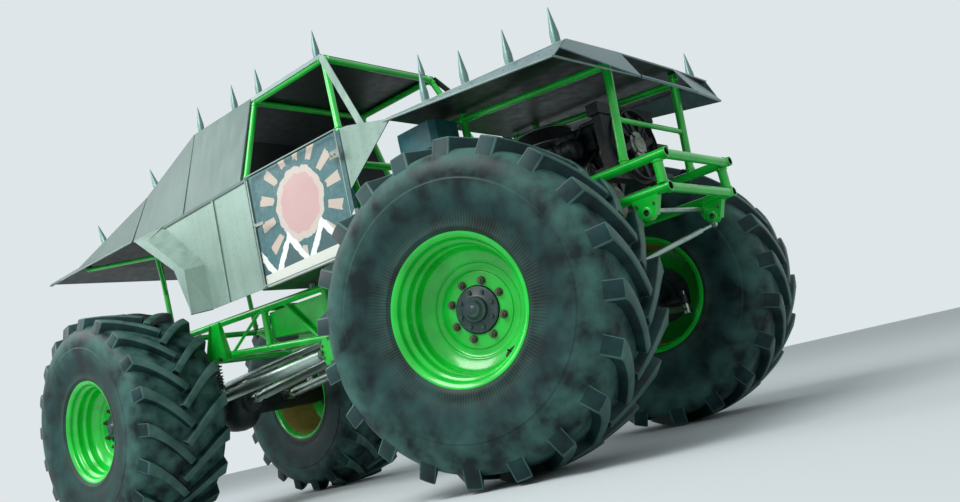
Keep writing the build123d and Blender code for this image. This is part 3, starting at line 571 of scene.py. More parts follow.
# %% [markdown]
# ### The hub, the wheel nuts and the hand hole
# The hub is a cast cap in steps, with its flange inside the rim's disc and eight small bolts round its
# collar. Eight nuts on the stud circle hold the wheel, each with its stud through it. The cone has an
# oval hole for a hand or a tool, with the tyre's valve in it; a dark oval cap laid on the cone shows as
# a hole, and leaves the spun rim whole.

# %% Helpers for bars and bolts
def tube(piece, start, end, diameter, segments=24, end_diameter=None):
    """Round bar or cone from start to end."""
    place, length = lay_along(start, end)
    made = bmesh.ops.create_cone(
        piece,
        cap_ends=True,
        segments=segments,
        radius1=diameter / 2,
        radius2=(end_diameter or diameter) / 2,
        depth=length,
        matrix=place @ Matrix.Translation((0, 0, length / 2)),
    )
    return made["verts"]


def hex_head(piece, at, direction, across, height, washer=1.25):
    """Hexagon nut or bolt head with a washer under it, standing on a surface."""
    at, direction = Vector(at), Vector(direction).normalized()
    tube(piece, at, at + direction * height * 0.2, across * washer, 16)
    tube(piece, at + direction * height * 0.2, at + direction * height, across * 1.1, 6)


# %% Turn the hub
HUB_LINE = [
    (0.043, 0.0),
    (0.043, 0.100),
    (0.089, 0.108),
    (0.107, 0.1085),
    (0.109, 0.112),
    (0.113, 0.1125),
    (0.116, 0.110),
    (0.118, 0.104),
    (0.120, 0.070),
    (0.124, 0.062),
    (0.140, 0.060),
    (0.144, 0.056),
    (0.144, 0.046),
    (0.147, 0.042),
    (0.158, 0.038),
    (0.161, 0.034),
    (0.161, 0.020),
    (0.164, 0.016),
    (0.165, 0.0),
]
HUB_BOLTS = 8
hub = spun(HUB_LINE, steps=64)
tube(hub, (0, 0, 0.059), (0, 0, 0.0885), 0.344, 64)
for step in range(HUB_BOLTS):
    turn = math.tau * (step + 0.25) / HUB_BOLTS
    spot = Vector((0.087 * math.cos(turn), 0.087 * math.sin(turn), 0.1185))
    hex_head(hub, spot, (0, 0, 1), 0.017, 0.010)
print("hub", len(hub.faces), "faces")

# %% Wheel nuts and the hand hole with its valve
STUDS = 8
STUD_CIRCLE = 0.275
nuts = bmesh.new()
for step in range(STUDS):
    turn = math.tau * (step + 0.5) / STUDS
    spot = Vector((STUD_CIRCLE / 2 * math.cos(turn), STUD_CIRCLE / 2 * math.sin(turn), 0.1025))
    hex_head(nuts, spot, (0, 0, 1), 0.030, 0.024, 1.4)
    tube(nuts, spot, spot + Vector((0, 0, 0.034)), 0.017, 12)

HAND_HOLE_TURN = math.radians(-150)
radial = Vector((math.cos(HAND_HOLE_TURN), math.sin(HAND_HOLE_TURN), 0))
around = Vector((-radial.y, radial.x, 0))
outward = Vector((0, 0, 0.86)) - radial * 0.51
middle = radial * 0.2650 + Vector((0, 0, 0.1255))
hand_hole = bmesh.new()
for vert in tube(hand_hole, middle - outward * 0.004, middle + outward * 0.0060, 0.034, 40):
    vert.co += around * (vert.co - middle).dot(around) * 1.1
tube(hand_hole, middle, middle + outward * 0.028, 0.010, 12)
print("wheel nuts", len(nuts.faces), "faces, hand hole", len(hand_hole.faces))

# %% Put a wheel's parts in their four places
WHEEL_PARTS = [
    # shape, its name, its finish, the solid that it replaces, slot, angle from which an edge is sharp
    (casing, "tyre_casing", casing_rubber, "tyre", "tyre_rubber", 35),
    (tread, "tyre_lugs", [lug_side_rubber, scuffed_and_lit_lug_rubber], "tyre", "tyre_rubber", 40),
    (rim, "rolled_rim", [green_powder_coat, rim_primer], "rim", "green_paint", 35),
    (hub, "turned_hub", hub_enamel, "hub", "dark_steel", 35),
    (nuts, "wheel_nuts", browned_nut_steel, None, "bright_steel", 35),
    (hand_hole, "hand_hole_and_valve", radiator_black, None, "black_plastic", 35),
]
for wheel in WHEELS:
    for shape, name, finish, solid, slot, sharp in WHEEL_PARTS:
        piece = bmesh.new()
        add_shape(piece, shape, wheel_place(wheel))
        replaced = [f"{solid}_{wheel}"] if solid else []
        finish_piece(piece, f"{name}_{wheel}", f"wheel_{wheel}", finish, replaced, sharp)
for shape, *_ in WHEEL_PARTS:
    shape.free()

# %% [markdown]
# ## The tube frame
# Two trusses of 50 mm tube carry the truck, joined by cross tubes and a bumper loop. The posts of the
# hood and tail and the cage in the cab are a little thinner. Tubes are straight bars cut to meet, with a
# bead of weld at each end. A cone with two like ends and a low ring is all that shows of such a joint.
# The front ends of the rails are left open, so one looks into them: painted shade blackens the insides.


# %% Helpers for welded tubes
def mirrored(points, side):
    """Points of the truck's left half, or of its right half where side is -1."""
    return [Vector((x, side * y, z)) for x, y, z in points]


def turned(piece, start, end, outline, steps=32):
    """Turned part laid from start towards end; its outline is (share of the way, radius)."""
    place, length = lay_along(start, end)
    shape = spun([(share * length, radius) for share, radius in outline], steps)
    add_shape(piece, shape, place)
    shape.free()


def weld_bead(piece, at, direction, diameter):
    """Low ring of weld round a tube's end."""
    at, reach = Vector(at), Vector(direction).normalized() * 0.008
    foot, crest = diameter / 2 - 0.001, diameter / 2 + 0.004
    turned(piece, at - reach, at + reach, [(0, foot), (0.2, crest), (0.8, crest), (1, foot)], 20)


def welded_tube(piece, start, end, diameter, set_back=0.028):
    """Tube with a weld bead a little way in from each end."""
    tube(piece, start, end, diameter)
    direction = (Vector(end) - Vector(start)).normalized()
    weld_bead(piece, Vector(start) + direction * set_back, direction, diameter)
    weld_bead(piece, Vector(end) - direction * set_back, direction, diameter)


def open_tube(piece, start, end, diameter, wall=0.005, depth=0.12):
    """Tube open at its end for a way, so its wall shows; its inside takes the second finish, painted shade.
    """
    verts = tube(piece, start, end, diameter)
    piece.normal_update()
    direction = (Vector(end) - Vector(start)).normalized()
    caps = {face for vert in verts for face in vert.link_faces if face.normal.dot(direction) > 0.99}
    for cap in caps:
        bmesh.ops.inset_region(piece, faces=[cap], thickness=wall)
        sunk = bmesh.ops.extrude_face_region(piece, geom=[cap])["geom"]
        moved = [item for item in sunk if isinstance(item, bmesh.types.BMVert)]
        bmesh.ops.translate(piece, verts=moved, vec=direction * -depth)
        bmesh.ops.delete(piece, geom=[cap], context="FACES_ONLY")
        # The sunk inside takes the second finish, which paints the shade in the tube
        for vert in moved:
            for face in vert.link_faces:
                face.material_index = 1


# %% Weld up the trusses
FRONT_RAIL_Y = 0.350
MAIN_RAIL_Y = 0.380
TUBE = 0.050
TRUSS = [
    # start x, start y, start z, end x, end y, end z, diameter
    (1.400, FRONT_RAIL_Y, 1.336, 0.296, MAIN_RAIL_Y, 1.345, TUBE),
    (1.400, FRONT_RAIL_Y, 1.173, 0.296, MAIN_RAIL_Y, 1.013, TUBE),
    (0.296, MAIN_RAIL_Y, 1.345, -1.639, MAIN_RAIL_Y, 1.403, TUBE),
    (0.296, MAIN_RAIL_Y, 1.013, -0.934, MAIN_RAIL_Y, 1.141, TUBE),
    (-0.934, MAIN_RAIL_Y, 1.141, -1.204, MAIN_RAIL_Y, 1.143, TUBE),
    (2.200, FRONT_RAIL_Y, 1.173, 2.200, FRONT_RAIL_Y, 1.336, TUBE),
    (1.400, FRONT_RAIL_Y, 1.173, 1.400, FRONT_RAIL_Y, 1.336, TUBE),
    (0.850, 0.365, 1.093, 0.850, 0.365, 1.340, TUBE),
    (0.256, MAIN_RAIL_Y, 1.017, 0.256, MAIN_RAIL_Y, 1.346, TUBE),
    (-0.414, MAIN_RAIL_Y, 1.087, -0.414, MAIN_RAIL_Y, 1.366, TUBE),
    (-0.450, MAIN_RAIL_Y, 1.367, -0.880, MAIN_RAIL_Y, 1.135, 0.022),
    (-0.190, MAIN_RAIL_Y, 1.360, 0.130, MAIN_RAIL_Y, 1.030, 0.028),
    (-1.204, MAIN_RAIL_Y, 1.143, -1.560, MAIN_RAIL_Y, 1.400, TUBE),
]
OPEN_RAILS = [
    # start x, end x, height
    (1.400, 2.829, 1.336),
    (1.400, 2.806, 1.173),
]
for side, name in ((-1, "right"), (1, "left")):
    piece = bmesh.new()
    for x1, y1, z1, x2, y2, z2, diameter in TRUSS:
        welded_tube(piece, *mirrored([(x1, y1, z1), (x2, y2, z2)], side), diameter)
    for start_x, end_x, z in OPEN_RAILS:
        start, end = mirrored([(start_x, FRONT_RAIL_Y, z), (end_x, FRONT_RAIL_Y, z)], side)
        open_tube(piece, start, end, TUBE)
    finishes = [green_powder_coat, radiator_black]
    finish_piece(piece, f"round_truss_{name}", "chassis", finishes, [f"frame_{name}"])


# %% Cross tubes and bumper
def weld_frame(solid, pairs, bars, set_back=0.028):
    """Round tubes for a solid of the frame: pairs stand on both sides, and bars run across."""
    piece = bmesh.new()
    for x1, y1, z1, x2, y2, z2, diameter in pairs:
        for side in (-1, 1):
            start, end = mirrored([(x1, y1, z1), (x2, y2, z2)], side)
            welded_tube(piece, start, end, diameter, set_back)
    for x, z, half, diameter in bars:
        welded_tube(piece, (x, -half, z), (x, half, z), diameter, set_back)
    finish_piece(piece, f"round_{solid}", "chassis", green_powder_coat, [solid])


# Each bar: x, z, half length, diameter
CROSS_TUBES = [
    (1.200, 1.337, 0.350, 0.046),
    (1.200, 1.145, 0.350, 0.046),
    (0.850, 1.120, 0.360, 0.046),
    (0.256, 1.346, 0.375, 0.046),
    (0.256, 1.052, 0.375, 0.046),
    (-0.414, 1.369, 0.375, 0.046),
    (-1.204, 1.143, 0.375, 0.046),
    (-1.600, 1.402, 0.375, 0.046),
]
BUMPER_BARS = [(2.800, 1.336, 0.327, 0.048), (2.782, 1.173, 0.327, 0.048)]
BUMPER_POSTS = [(2.770, FRONT_RAIL_Y, 1.196, 2.770, FRONT_RAIL_Y, 1.313, TUBE)]
weld_frame("crossmembers", [], CROSS_TUBES)
weld_frame("bumper", BUMPER_POSTS, BUMPER_BARS, set_back=0.006)

# %% Hood frame, cage and tail posts
HOOD_POSTS = [
    # start x, start y, start z, end x, end y, end z, diameter
    (2.594, FRONT_RAIL_Y, 1.345, 2.6405, FRONT_RAIL_Y, 1.911, 0.045),
    (1.676, FRONT_RAIL_Y, 1.345, 1.676, FRONT_RAIL_Y, 1.984, 0.045),
    (1.500, FRONT_RAIL_Y, 1.968, 2.636, FRONT_RAIL_Y, 1.860, 0.040),
]
CAGE_TUBE = 0.042
CAGE_SIDES = [
    (0.046, 0.680, 1.406, 0.046, 0.680, 2.130, CAGE_TUBE),
    (0.046, 0.680, 2.130, 0.046, 0.490, 2.710, CAGE_TUBE),
    (0.046, 0.490, 2.710, 0.800, 0.490, 2.695, CAGE_TUBE),
    (0.800, 0.490, 2.695, 0.966, 0.640, 2.123, CAGE_TUBE),
    (0.966, 0.640, 2.123, 1.060, 0.640, 1.406, CAGE_TUBE),
]
CAGE_BARS = [
    (0.046, 2.710, 0.490, CAGE_TUBE),
    (0.800, 2.695, 0.490, CAGE_TUBE),
    (1.150, 1.850, 0.712, CAGE_TUBE),
]
TAIL_POSTS = [
    (-1.600, MAIN_RAIL_Y, 1.429, -1.650, MAIN_RAIL_Y, 2.120, 0.040),
    (-1.650, MAIN_RAIL_Y, 2.100, -2.500, 0.537, 2.226, 0.036),
    (-1.625, MAIN_RAIL_Y, 1.780, -1.250, 0.640, 2.080, 0.030),
]
weld_frame("hood_frame", HOOD_POSTS, [(2.614, 1.583, FRONT_RAIL_Y, 0.028)])
weld_frame("cab_cage", CAGE_SIDES, CAGE_BARS)
weld_frame("tail_posts", TAIL_POSTS, [(-1.650, 2.100, MAIN_RAIL_Y, 0.036)])

# %% [markdown]
# ## Axles
# The axles are heavy forged beams with a round gear case in the middle, whose cover is bolted on at the
# back and whose nose takes the drive shaft. Each is a handful of turned shapes laid across the truck.
# Their places come from the joints of the frame: the wheels of the rear, the kingpins of the front.


# %% Axle beams and their gear cases
AXLE_Z = joints["roll_rr"]["pos_m"][2]
REAR_AXLE_X = joints["roll_rr"]["pos_m"][0]
FRONT_AXLE_X = joints["steer_left"]["pos_m"][0]
KINGPIN_Y = joints["steer_left"]["pos_m"][1]
BEAM_REACH = 0.560
BEAM_LINE = [
    # share of the way across, radius
    (0, 0),
    (0, 0.062),
    (0.02, 0.078),
    (0.3, 0.080),
    (0.36, 0.094),
    (0.64, 0.094),
    (0.7, 0.080),
    (0.98, 0.078),
    (1, 0.062),
    (1, 0),
]
GEAR_CASE_LINE = [
    (0, 0),
    (0, 0.090),
    (0.06, 0.110),
    (0.17, 0.160),
    (0.3, 0.186),
    (0.42, 0.193),
    (0.6, 0.194),
    (0.72, 0.186),
    (0.86, 0.152),
    (0.96, 0.110),
    (1, 0.090),
    (1, 0),
]
NOSE_LINE = [
    # share of the way forwards from the case, radius
    (0, 0),
    (0, 0.110),
    (0.3, 0.100),
    (0.5, 0.080),
    (0.86, 0.074),
    (0.86, 0.078),
    (1, 0.078),
    (1, 0),
]
LINK_POST_LINE = [(0, 0), (0, 0.034), (0.3, 0.030), (0.94, 0.030), (1, 0.026), (1, 0)]
COVER_BOLTS = 10


def block(piece, low, high, soften=0.004, segments=2):
    """Box between two corners with rounded edges."""
    low, high = Vector(low), Vector(high)
    place = Matrix.Translation((low + high) / 2) @ Matrix.Diagonal((*(high - low), 1))
    verts = bmesh.ops.create_cube(piece, size=1, matrix=place)["verts"]
    edges = list({edge for vert in verts for edge in vert.link_edges})
    bmesh.ops.bevel(
        piece, geom=edges, offset=soften, offset_type="OFFSET", affect="EDGES", segments=segments,
        profile=0.5, material=-1,
    )


def axle_beam(piece, axle_x, nose_side):
    """Beam, gear case, nose towards the drive shaft, posts for the upper links, and bolted cover."""
    centre = Vector((axle_x, 0, AXLE_Z))
    across = Vector((0, 1, 0))
    turned(piece, centre - across * BEAM_REACH, centre + across * BEAM_REACH, BEAM_LINE, 40)
    turned(piece, centre - across * 0.165, centre + across * 0.165, GEAR_CASE_LINE, 56)
    nose_root = centre + Vector((nose_side * 0.120, 0, 0.006))
    nose_tip = centre + Vector((nose_side * 0.225, 0, 0.008))
    turned(piece, nose_root, nose_tip, NOSE_LINE, 40)
    for side in (-1, 1):
        foot = centre + Vector((0, side * 0.150, 0.060))
        turned(piece, foot, foot + Vector((0, 0, 0.125)), LINK_POST_LINE, 24)
    for step in range(COVER_BOLTS):
        turn = math.tau * step / COVER_BOLTS
        spot = centre + Vector((-nose_side * 0.170, 0.085 * math.cos(turn), 0.085 * math.sin(turn)))
        hex_head(piece, spot, (-nose_side, 0, 0), 0.016, 0.012)


REAR_SPINDLE_LINE = [(0, 0), (0, 0.074), (0.6, 0.074), (0.6, 0.066), (0.97, 0.066), (1, 0.060), (1, 0)]
piece = bmesh.new()
axle_beam(piece, REAR_AXLE_X, 1)
for side in (-1, 1):
    root, tip = mirrored([(REAR_AXLE_X, 0.545, AXLE_Z), (REAR_AXLE_X, 0.942, AXLE_Z)], side)
    turned(piece, root, tip, REAR_SPINDLE_LINE, 40)
finish_piece(piece, "forged_rear_axle", "chassis", black_chassis_paint, ["rear_axle"])

YOKE_LINE = [(0, 0), (0, 0.110), (0.3, 0.130), (0.9, 0.131), (1, 0.128), (1, 0)]
YOKE_THICKNESS = 0.028
piece = bmesh.new()
axle_beam(piece, FRONT_AXLE_X, -1)
for side in (-1, 1):
    root, tip = mirrored([(FRONT_AXLE_X, 0.548, AXLE_Z), (FRONT_AXLE_X, 0.585, AXLE_Z)], side)
    turned(piece, root, tip, YOKE_LINE, 48)
    for facing, level in ((1, 0.104), (-1, -0.132)):
        low_y, high_y = sorted((side * BEAM_REACH, side * (KINGPIN_Y + 0.010)))
        low_z, high_z = AXLE_Z + level, AXLE_Z + level + YOKE_THICKNESS
        block(piece, (FRONT_AXLE_X - 0.058, low_y, low_z), (FRONT_AXLE_X + 0.058, high_y, high_z), 0.006)
        kingpin = (FRONT_AXLE_X, side * KINGPIN_Y)
        tube(piece, (*kingpin, low_z), (*kingpin, high_z), 0.118, 32)
        cap_z = high_z if facing > 0 else low_z
        hex_head(piece, (*kingpin, cap_z - 0.001), (0, 0, facing), 0.050, 0.014)
finish_piece(piece, "forged_front_axle", "chassis", black_chassis_paint, ["front_axle"])

# %% [markdown]
# ## Links and shocks
# Four links guide each axle: straight steel bars with a lock nut and an eye at each end, held between two
# ears. A damper with a coil spring stands on each lower link. The bars are turned shapes laid from pin
# to pin, so a link is placed by its two ends alone. A spring is a small circle spun with a shift at each
# step, which keeps its wire round all the way.


# %% Helpers for links, clevises and springs
def strap(piece, start, end, tall, thick):
    """Flat bar from start to end, so tall in the upright plane that holds it and so thick sideways."""
    place, length = lay_along(start, end)
    size = Matrix.Diagonal((thick, tall, length, 1))
    bmesh.ops.create_cube(piece, size=1, matrix=place @ Matrix.Translation((0, 0, length / 2)) @ size)


def link_bar(piece, start, end, diameter, eye):
    """Bar that narrows to a threaded end with a lock nut and an eye at both ends."""
    length = (end - start).length
    neck, nut = 0.075 / length, 0.030 / length
    radius = diameter / 2
    near_half = [
        (0, 0),
        (0, radius * 0.55),
        (neck, radius * 0.55),
        (neck, radius * 0.9),
        (neck + nut, radius * 0.9),
        (neck + nut * 1.2, radius),
    ]
    far_half = [
        (1 - neck - nut * 1.2, radius),
        (1 - neck - nut, radius * 0.9),
        (1 - neck, radius * 0.9),
        (1 - neck, radius * 0.55),
        (1, radius * 0.55),
        (1, 0),
    ]
    turned(piece, start, end, near_half + far_half, 28)
    for spot in (start, end):
        for reach, across, segments in ((0.42, eye, 28), (0.52, eye * 0.5, 16)):
            half = Vector((0, eye * reach, 0))
            tube(piece, spot - half, spot + half, across, segments)


def clevis(piece, eye, anchor, spread, width):
    """Two ears that hold an eye, running back to the part that they are welded to."""
    half_ear = Vector((0, 0.005, 0))
    for side in (-1, 1):
        shift = Vector((0, side * spread, 0))
        strap(piece, eye + shift, anchor + shift, width, 0.010)
        tube(piece, eye + shift - half_ear, eye + shift + half_ear, width, 20)
    bolt = Vector((0, spread + 0.012, 0))
    tube(piece, eye - bolt, eye + bolt, width * 0.4, 6)


def coil(piece, start, end, radius, wire, turns):
    """Coil spring: a circle of wire spun round with a shift at each step."""
    place, length = lay_along(start, end)
    shape = bmesh.new()
    upright = Matrix.Translation((radius, 0, 0)) @ Matrix.Rotation(math.pi / 2, 4, "X")
    ring = bmesh.ops.create_circle(shape, segments=8, radius=wire / 2, matrix=upright)["verts"]
    edges = list({edge for vert in ring for edge in vert.link_edges})
    steps = int(turns * 20)
    bmesh.ops.spin(
        shape, geom=ring + edges, cent=(0, 0, 0), axis=(0, 0, 1), dvec=(0, 0, length / steps),
        angle=math.tau * turns, steps=steps, use_merge=False,
    )
    bmesh.ops.holes_fill(shape, edges=shape.edges, sides=12)
    bmesh.ops.recalc_face_normals(shape, faces=shape.faces)
    add_shape(piece, shape, place)
    shape.free()


# %% Links, dampers and springs of both axles
FRAME_PIN_Y = 0.350
FRAME_PIN_Z = 0.935
AXLE_PIN_Z = 0.815
LINKS = [
    # axle, lower frame x, axle x, axle y, shock x, shock y, upper frame x and z
    ("rear", 0.146, REAR_AXLE_X, 0.430, -1.049, 0.409, 0.256, 1.052),
    ("front", 0.310, FRONT_AXLE_X, 0.240, 1.454, 0.321, 0.850, 1.120),
]
DAMPER_LINE = [
    # share of the way up, radius
    (0, 0),
    (0, 0.014),
    (0.08, 0.014),
    (0.08, 0.031),
    (0.13, 0.031),
    (0.13, 0.022),
    (0.55, 0.022),
    (0.55, 0.012),
    (0.88, 0.012),
    (0.88, 0.031),
    (0.94, 0.031),
    (0.94, 0.014),
    (1, 0.014),
    (1, 0),
]
for name, frame_x, axle_x, axle_y, shock_x, shock_y, upper_x, upper_z in LINKS:
    share = (shock_x - frame_x) / (axle_x - frame_x)
    lug_y = FRAME_PIN_Y + share * (axle_y - FRAME_PIN_Y)
    lug_z = FRAME_PIN_Z + share * (AXLE_PIN_Z - FRAME_PIN_Z)
    pins = [
        # lower link's pin on the frame and mount on the axle, the upper link's, the shock's lug and head
        (frame_x, FRAME_PIN_Y, FRAME_PIN_Z),
        (axle_x, axle_y, AXLE_PIN_Z),
        (upper_x, 0.200, upper_z),
        (axle_x, 0.150, 0.960),
        (shock_x, lug_y, lug_z),
        (shock_x, shock_y, 1.097),
    ]
    links, ears, dampers, springs = (bmesh.new() for _ in range(4))
    for side in (-1, 1):
        frame_eye, axle_mount, upper_eye, post, lug, head = mirrored(pins, side)
        axle_eye = axle_mount + (frame_eye - axle_mount).normalized() * 0.128
        link_bar(links, frame_eye, axle_eye, 0.078, 0.078)
        clevis(ears, axle_eye, axle_mount, 0.040, 0.070)
        tube(links, frame_eye, frame_eye + Vector((0, side * 0.062, 0)), 0.043)
        link_bar(links, upper_eye, post + (upper_eye - post).normalized() * 0.052, 0.048, 0.052)
        block(links, lug + Vector((-0.024, -0.018, 0.010)), lug + Vector((0.024, 0.018, 0.066)), 0.005)
        foot = lug + Vector((0, 0, 0.062))
        turned(dampers, foot, head, DAMPER_LINE, 24)
        coil(springs, foot.lerp(head, 0.13), foot.lerp(head, 0.88), 0.0265, 0.010, 6)
    bars, shocks = f"{name}_links", f"{name}_shocks"
    finish_piece(links, f"turned_{bars}", "chassis", bright_bar_steel, [bars])
    finish_piece(ears, f"link_clevises_{name}", "chassis", black_chassis_paint)
    finish_piece(dampers, f"turned_{shocks}", "chassis", black_chassis_paint, [shocks])
    finish_piece(springs, f"coil_springs_{name}", "chassis", dull_zinc, [shocks])

# %% Track rod, front brace and drive shafts
piece = bmesh.new()
rod_start, rod_end = Vector((2.655, 0.323, 1.034)), Vector((2.020, -0.337, 0.786))
rod_eye = rod_start.lerp(rod_end, 0.93)
link_bar(piece, rod_start, rod_eye, 0.032, 0.034)
clevis(piece, rod_eye, Vector((1.975, -0.337, 0.790)), 0.022, 0.034)
finish_piece(piece, "turned_track_rod", "chassis", bright_bar_steel, ["track_rod"])

piece = bmesh.new()
tube(piece, (2.6177, -0.327, 1.1043), (2.6123, 0.327, 1.1317), 0.026)
finish_piece(piece, "round_front_brace", "chassis", bright_bar_steel, ["front_brace"])

SHAFT_LINE = [
    # share of the way to the axle, radius
    (0, 0),
    (0, 0.036),
    (0.04, 0.036),
    (0.04, 0.028),
    (0.09, 0.028),
    (0.09, 0.037),
    (0.9, 0.037),
    (0.9, 0.030),
    (0.95, 0.030),
    (0.95, 0.038),
    (1, 0.038),
    (1, 0),
]
piece = bmesh.new()
turned(piece, (0.430, 0, 0.995), (-1.275, 0, 0.819), SHAFT_LINE, 32)
turned(piece, (0.830, 0, 0.990), (1.735, 0, 0.851), SHAFT_LINE, 32)
finish_piece(piece, "turned_drive_shafts", "chassis", bright_bar_steel, ["drive_shafts"])

# %% [markdown]
# ## Steering
# A forged knuckle turns on each kingpin. Its spindle carries the wheel and its arm holds the tie rod,
# which makes both wheels turn together. Every place here is measured from the kingpin along directions
# that are turned with the wheels, so the parts meet whatever angle the solid model stands at.

# %% Tie rod
LEFT_SPINDLE = joints["roll_fl"]["axis"]
STEER = math.atan2(-LEFT_SPINDLE[0], LEFT_SPINDLE[1])
ARM_LENGTH = 0.200
ARM_DROP = 0.075


def steered(side, across, ahead=0.0, up=0.0):
    """Point beside a front kingpin, turned with the steering."""
    out = side * across
    return Vector((
        FRONT_AXLE_X + ahead * math.cos(STEER) - out * math.sin(STEER),
        side * KINGPIN_Y + ahead * math.sin(STEER) + out * math.cos(STEER),
        AXLE_Z + up,
    ))


TIE_ROD_LINE = [
    # share of the way to the left, radius
    (0, 0),
    (0, 0.013),
    (0.06, 0.013),
    (0.06, 0.019),
    (0.09, 0.019),
    (0.09, 0.0195),
    (0.91, 0.0195),
    (0.91, 0.019),
    (0.94, 0.019),
    (0.94, 0.013),
    (1, 0.013),
    (1, 0),
]
piece = bmesh.new()
eyes = [steered(side, 0, ahead=ARM_LENGTH, up=-ARM_DROP - 0.060) for side in (-1, 1)]
turned(piece, *eyes, TIE_ROD_LINE, 28)
for eye in eyes:
    half_eye = Vector((0, 0, 0.027))
    tube(piece, eye - half_eye, eye + half_eye, 0.056, 32)
    tube(piece, eye, eye + Vector((0, 0, 0.110)), 0.0238, 24)
finish_piece(piece, "turned_tie_rod", "tie_rod", bright_bar_steel, ["tie_rod"])
print("wheels steered", round(math.degrees(STEER), 2), "degrees to the left")


# %% Knuckles and spindles
def spin_into(piece, outline, steps, matrix):
    """Spin a closed ring and put it in its place in a piece."""
    ring = spun(outline, steps, closed=True)
    add_shape(piece, ring, matrix)
    ring.free()


BARREL_LINE = [(0, 0), (0, 0.046), (0.06, 0.054), (0.94, 0.054), (1, 0.046), (1, 0)]
SPINDLE_LINE = [
    # share of the way out, radius
    (0, 0),
    (0, 0.070),
    (0.3, 0.074),
    (0.5, 0.074),
    (0.52, 0.066),
    (0.98, 0.066),
    (1, 0.060),
    (1, 0),
]
ARM_LINE = [(0, 0), (0, 0.022), (0.4, 0.0215), (1, 0.0195), (1, 0)]
EYE_RING = [
    # distance from the eye's middle, radius
    (-0.025, 0.0135),
    (-0.025, 0.027),
    (-0.022, 0.0295),
    (0.022, 0.0295),
    (0.025, 0.027),
    (0.025, 0.0135),
]
for side, name in ((-1, "right"), (1, "left")):
    piece = bmesh.new()
    turned(piece, steered(side, 0, up=-0.097), steered(side, 0, up=0.097), BARREL_LINE, 32)
    turned(piece, steered(side, 0), steered(side, 0.222), SPINDLE_LINE, 40)
    arm_start, arm_end = (steered(side, 0, ahead=reach, up=-ARM_DROP) for reach in (0, ARM_LENGTH))
    turned(piece, arm_start, arm_start.lerp(arm_end, 0.88), ARM_LINE, 24)
    spin_into(piece, EYE_RING, 32, Matrix.Translation(arm_end))
    knuckle = f"knuckle_{name}"
    finish_piece(piece, f"forged_{knuckle}", knuckle, black_chassis_paint, [knuckle])

# %% [markdown]
# ## Welded brackets
# The suspension towers are folded from plate, so each slanting edge turns outwards as a flange. The
# hexagonal plates that hold the link pins carry bolts, and so do the brackets of the bumper. Each of
# these has an eye for a tow pin, with a turned boss welded on both faces, and a black ring lines the
# bore as painted shade.
# The plates keep their solids: a flange is one flat face with a thickness, and rings are spun.


# %% Flanges, bolts, bosses and bushes
def plate(piece, corners, thickness):
    """Flat plate through corners, as thick as given on the side away from its front face."""
    face = piece.faces.new([piece.verts.new(corner) for corner in corners])
    bmesh.ops.solidify(piece, geom=[face], thickness=thickness)


TOWERS = [
    # x, y of the tower's inner face
    (-0.984, 0.400),
    (1.454, 0.320),
]
TOWER_TOP_Z = 1.388
TOWER_FOOT_Z = 1.102
PLATE_MIDDLE = (0.228, 0.408, FRAME_PIN_Z)
PLATE_BOLTS = 6
TOW_EYE = (2.656, 0.350, 1.080)
BOSS_RING = [(0, 0.0165), (0.006, 0.0165), (0.006, 0.027), (0.004, 0.030), (0, 0.032)]
BORE_SHADE_RING = [(-0.021, 0.0158), (0.021, 0.0158), (0.021, 0.0120), (-0.021, 0.0120)]
quarter = math.pi / 2
flanges, bolts, bore_shade_liners = bmesh.new(), bmesh.new(), bmesh.new()
for side in (-1, 1):
    out = (0, side, 0)
    for x, inner_y in TOWERS:
        y = inner_y + 0.008
        for edge in (-1, 1):
            flange = [
                (x + edge * 0.060, y, TOWER_TOP_Z),
                (x + edge * 0.139, y, TOWER_FOOT_Z),
                (x + edge * 0.139, y + 0.050, TOWER_FOOT_Z),
                (x + edge * 0.060, y + 0.018, TOWER_TOP_Z),
            ]
            plate(flanges, mirrored(flange, side), 0.006)
        hex_head(bolts, (x, side * y, 1.125), out, 0.026, 0.016)
    for step in range(PLATE_BOLTS):
        turn = math.tau * (step + 0.5) / PLATE_BOLTS
        around = Vector((0.078 * math.cos(turn), 0, 0.078 * math.sin(turn)))
        hex_head(bolts, mirrored([PLATE_MIDDLE], side)[0] + around, out, 0.016, 0.010)
    hex_head(bolts, (0.146, side * 0.408, FRAME_PIN_Z), out, 0.034, 0.022)
    eye = mirrored([TOW_EYE], side)[0]
    # A black ring lines each tow eye's bore: painted shade
    spin_into(bore_shade_liners, BORE_SHADE_RING, 32, Matrix.Translation(eye) @ Matrix.Rotation(quarter, 4, "X"))
    for face in (-1, 1):
        rise = Vector((0, face * 0.022, 0))
        place = Matrix.Translation(eye + rise) @ Matrix.Rotation(-face * quarter, 4, "X")
        spin_into(flanges, BOSS_RING, 32, place)
        for x, z in ((2.612, 1.125), (2.704, 1.120)):
            hex_head(bolts, Vector((x, eye.y, z)) + rise, (0, face, 0), 0.014, 0.009)
finish_piece(flanges, "bracket_flanges", "chassis", green_powder_coat)
finish_piece(bolts, "bracket_bolts", "chassis", dull_zinc)
finish_piece(bore_shade_liners, "bracket_bushes", "chassis", radiator_black)

# %% [markdown]
# ## Body trim
# The sheets are joined by riveted laps: a narrow strip covers each joint and a row of rivets holds it.
# The edges of the hood and the tail are rolled over a wire, which stiffens them and takes the light,
# and a strip runs along each side of the roof. The doors have a folded trim round them, two hinges and
# a lever. All of it is bars and thin tubes laid on the solids, so the panels themselves stay untouched.


# %% Laps, rivets and rolled edges
def rivet_row(piece, start, end, count, direction, radius=0.006):
    """Row of low domed rivets on a surface that faces the given direction."""
    start, end, direction = Vector(start), Vector(end), Vector(direction).normalized()
    for step in range(count):
        spot = start.lerp(end, (step + 0.5) / count)
        tube(piece, spot - direction * 0.001, spot + direction * 0.003, radius * 2, 8, radius * 1.1)


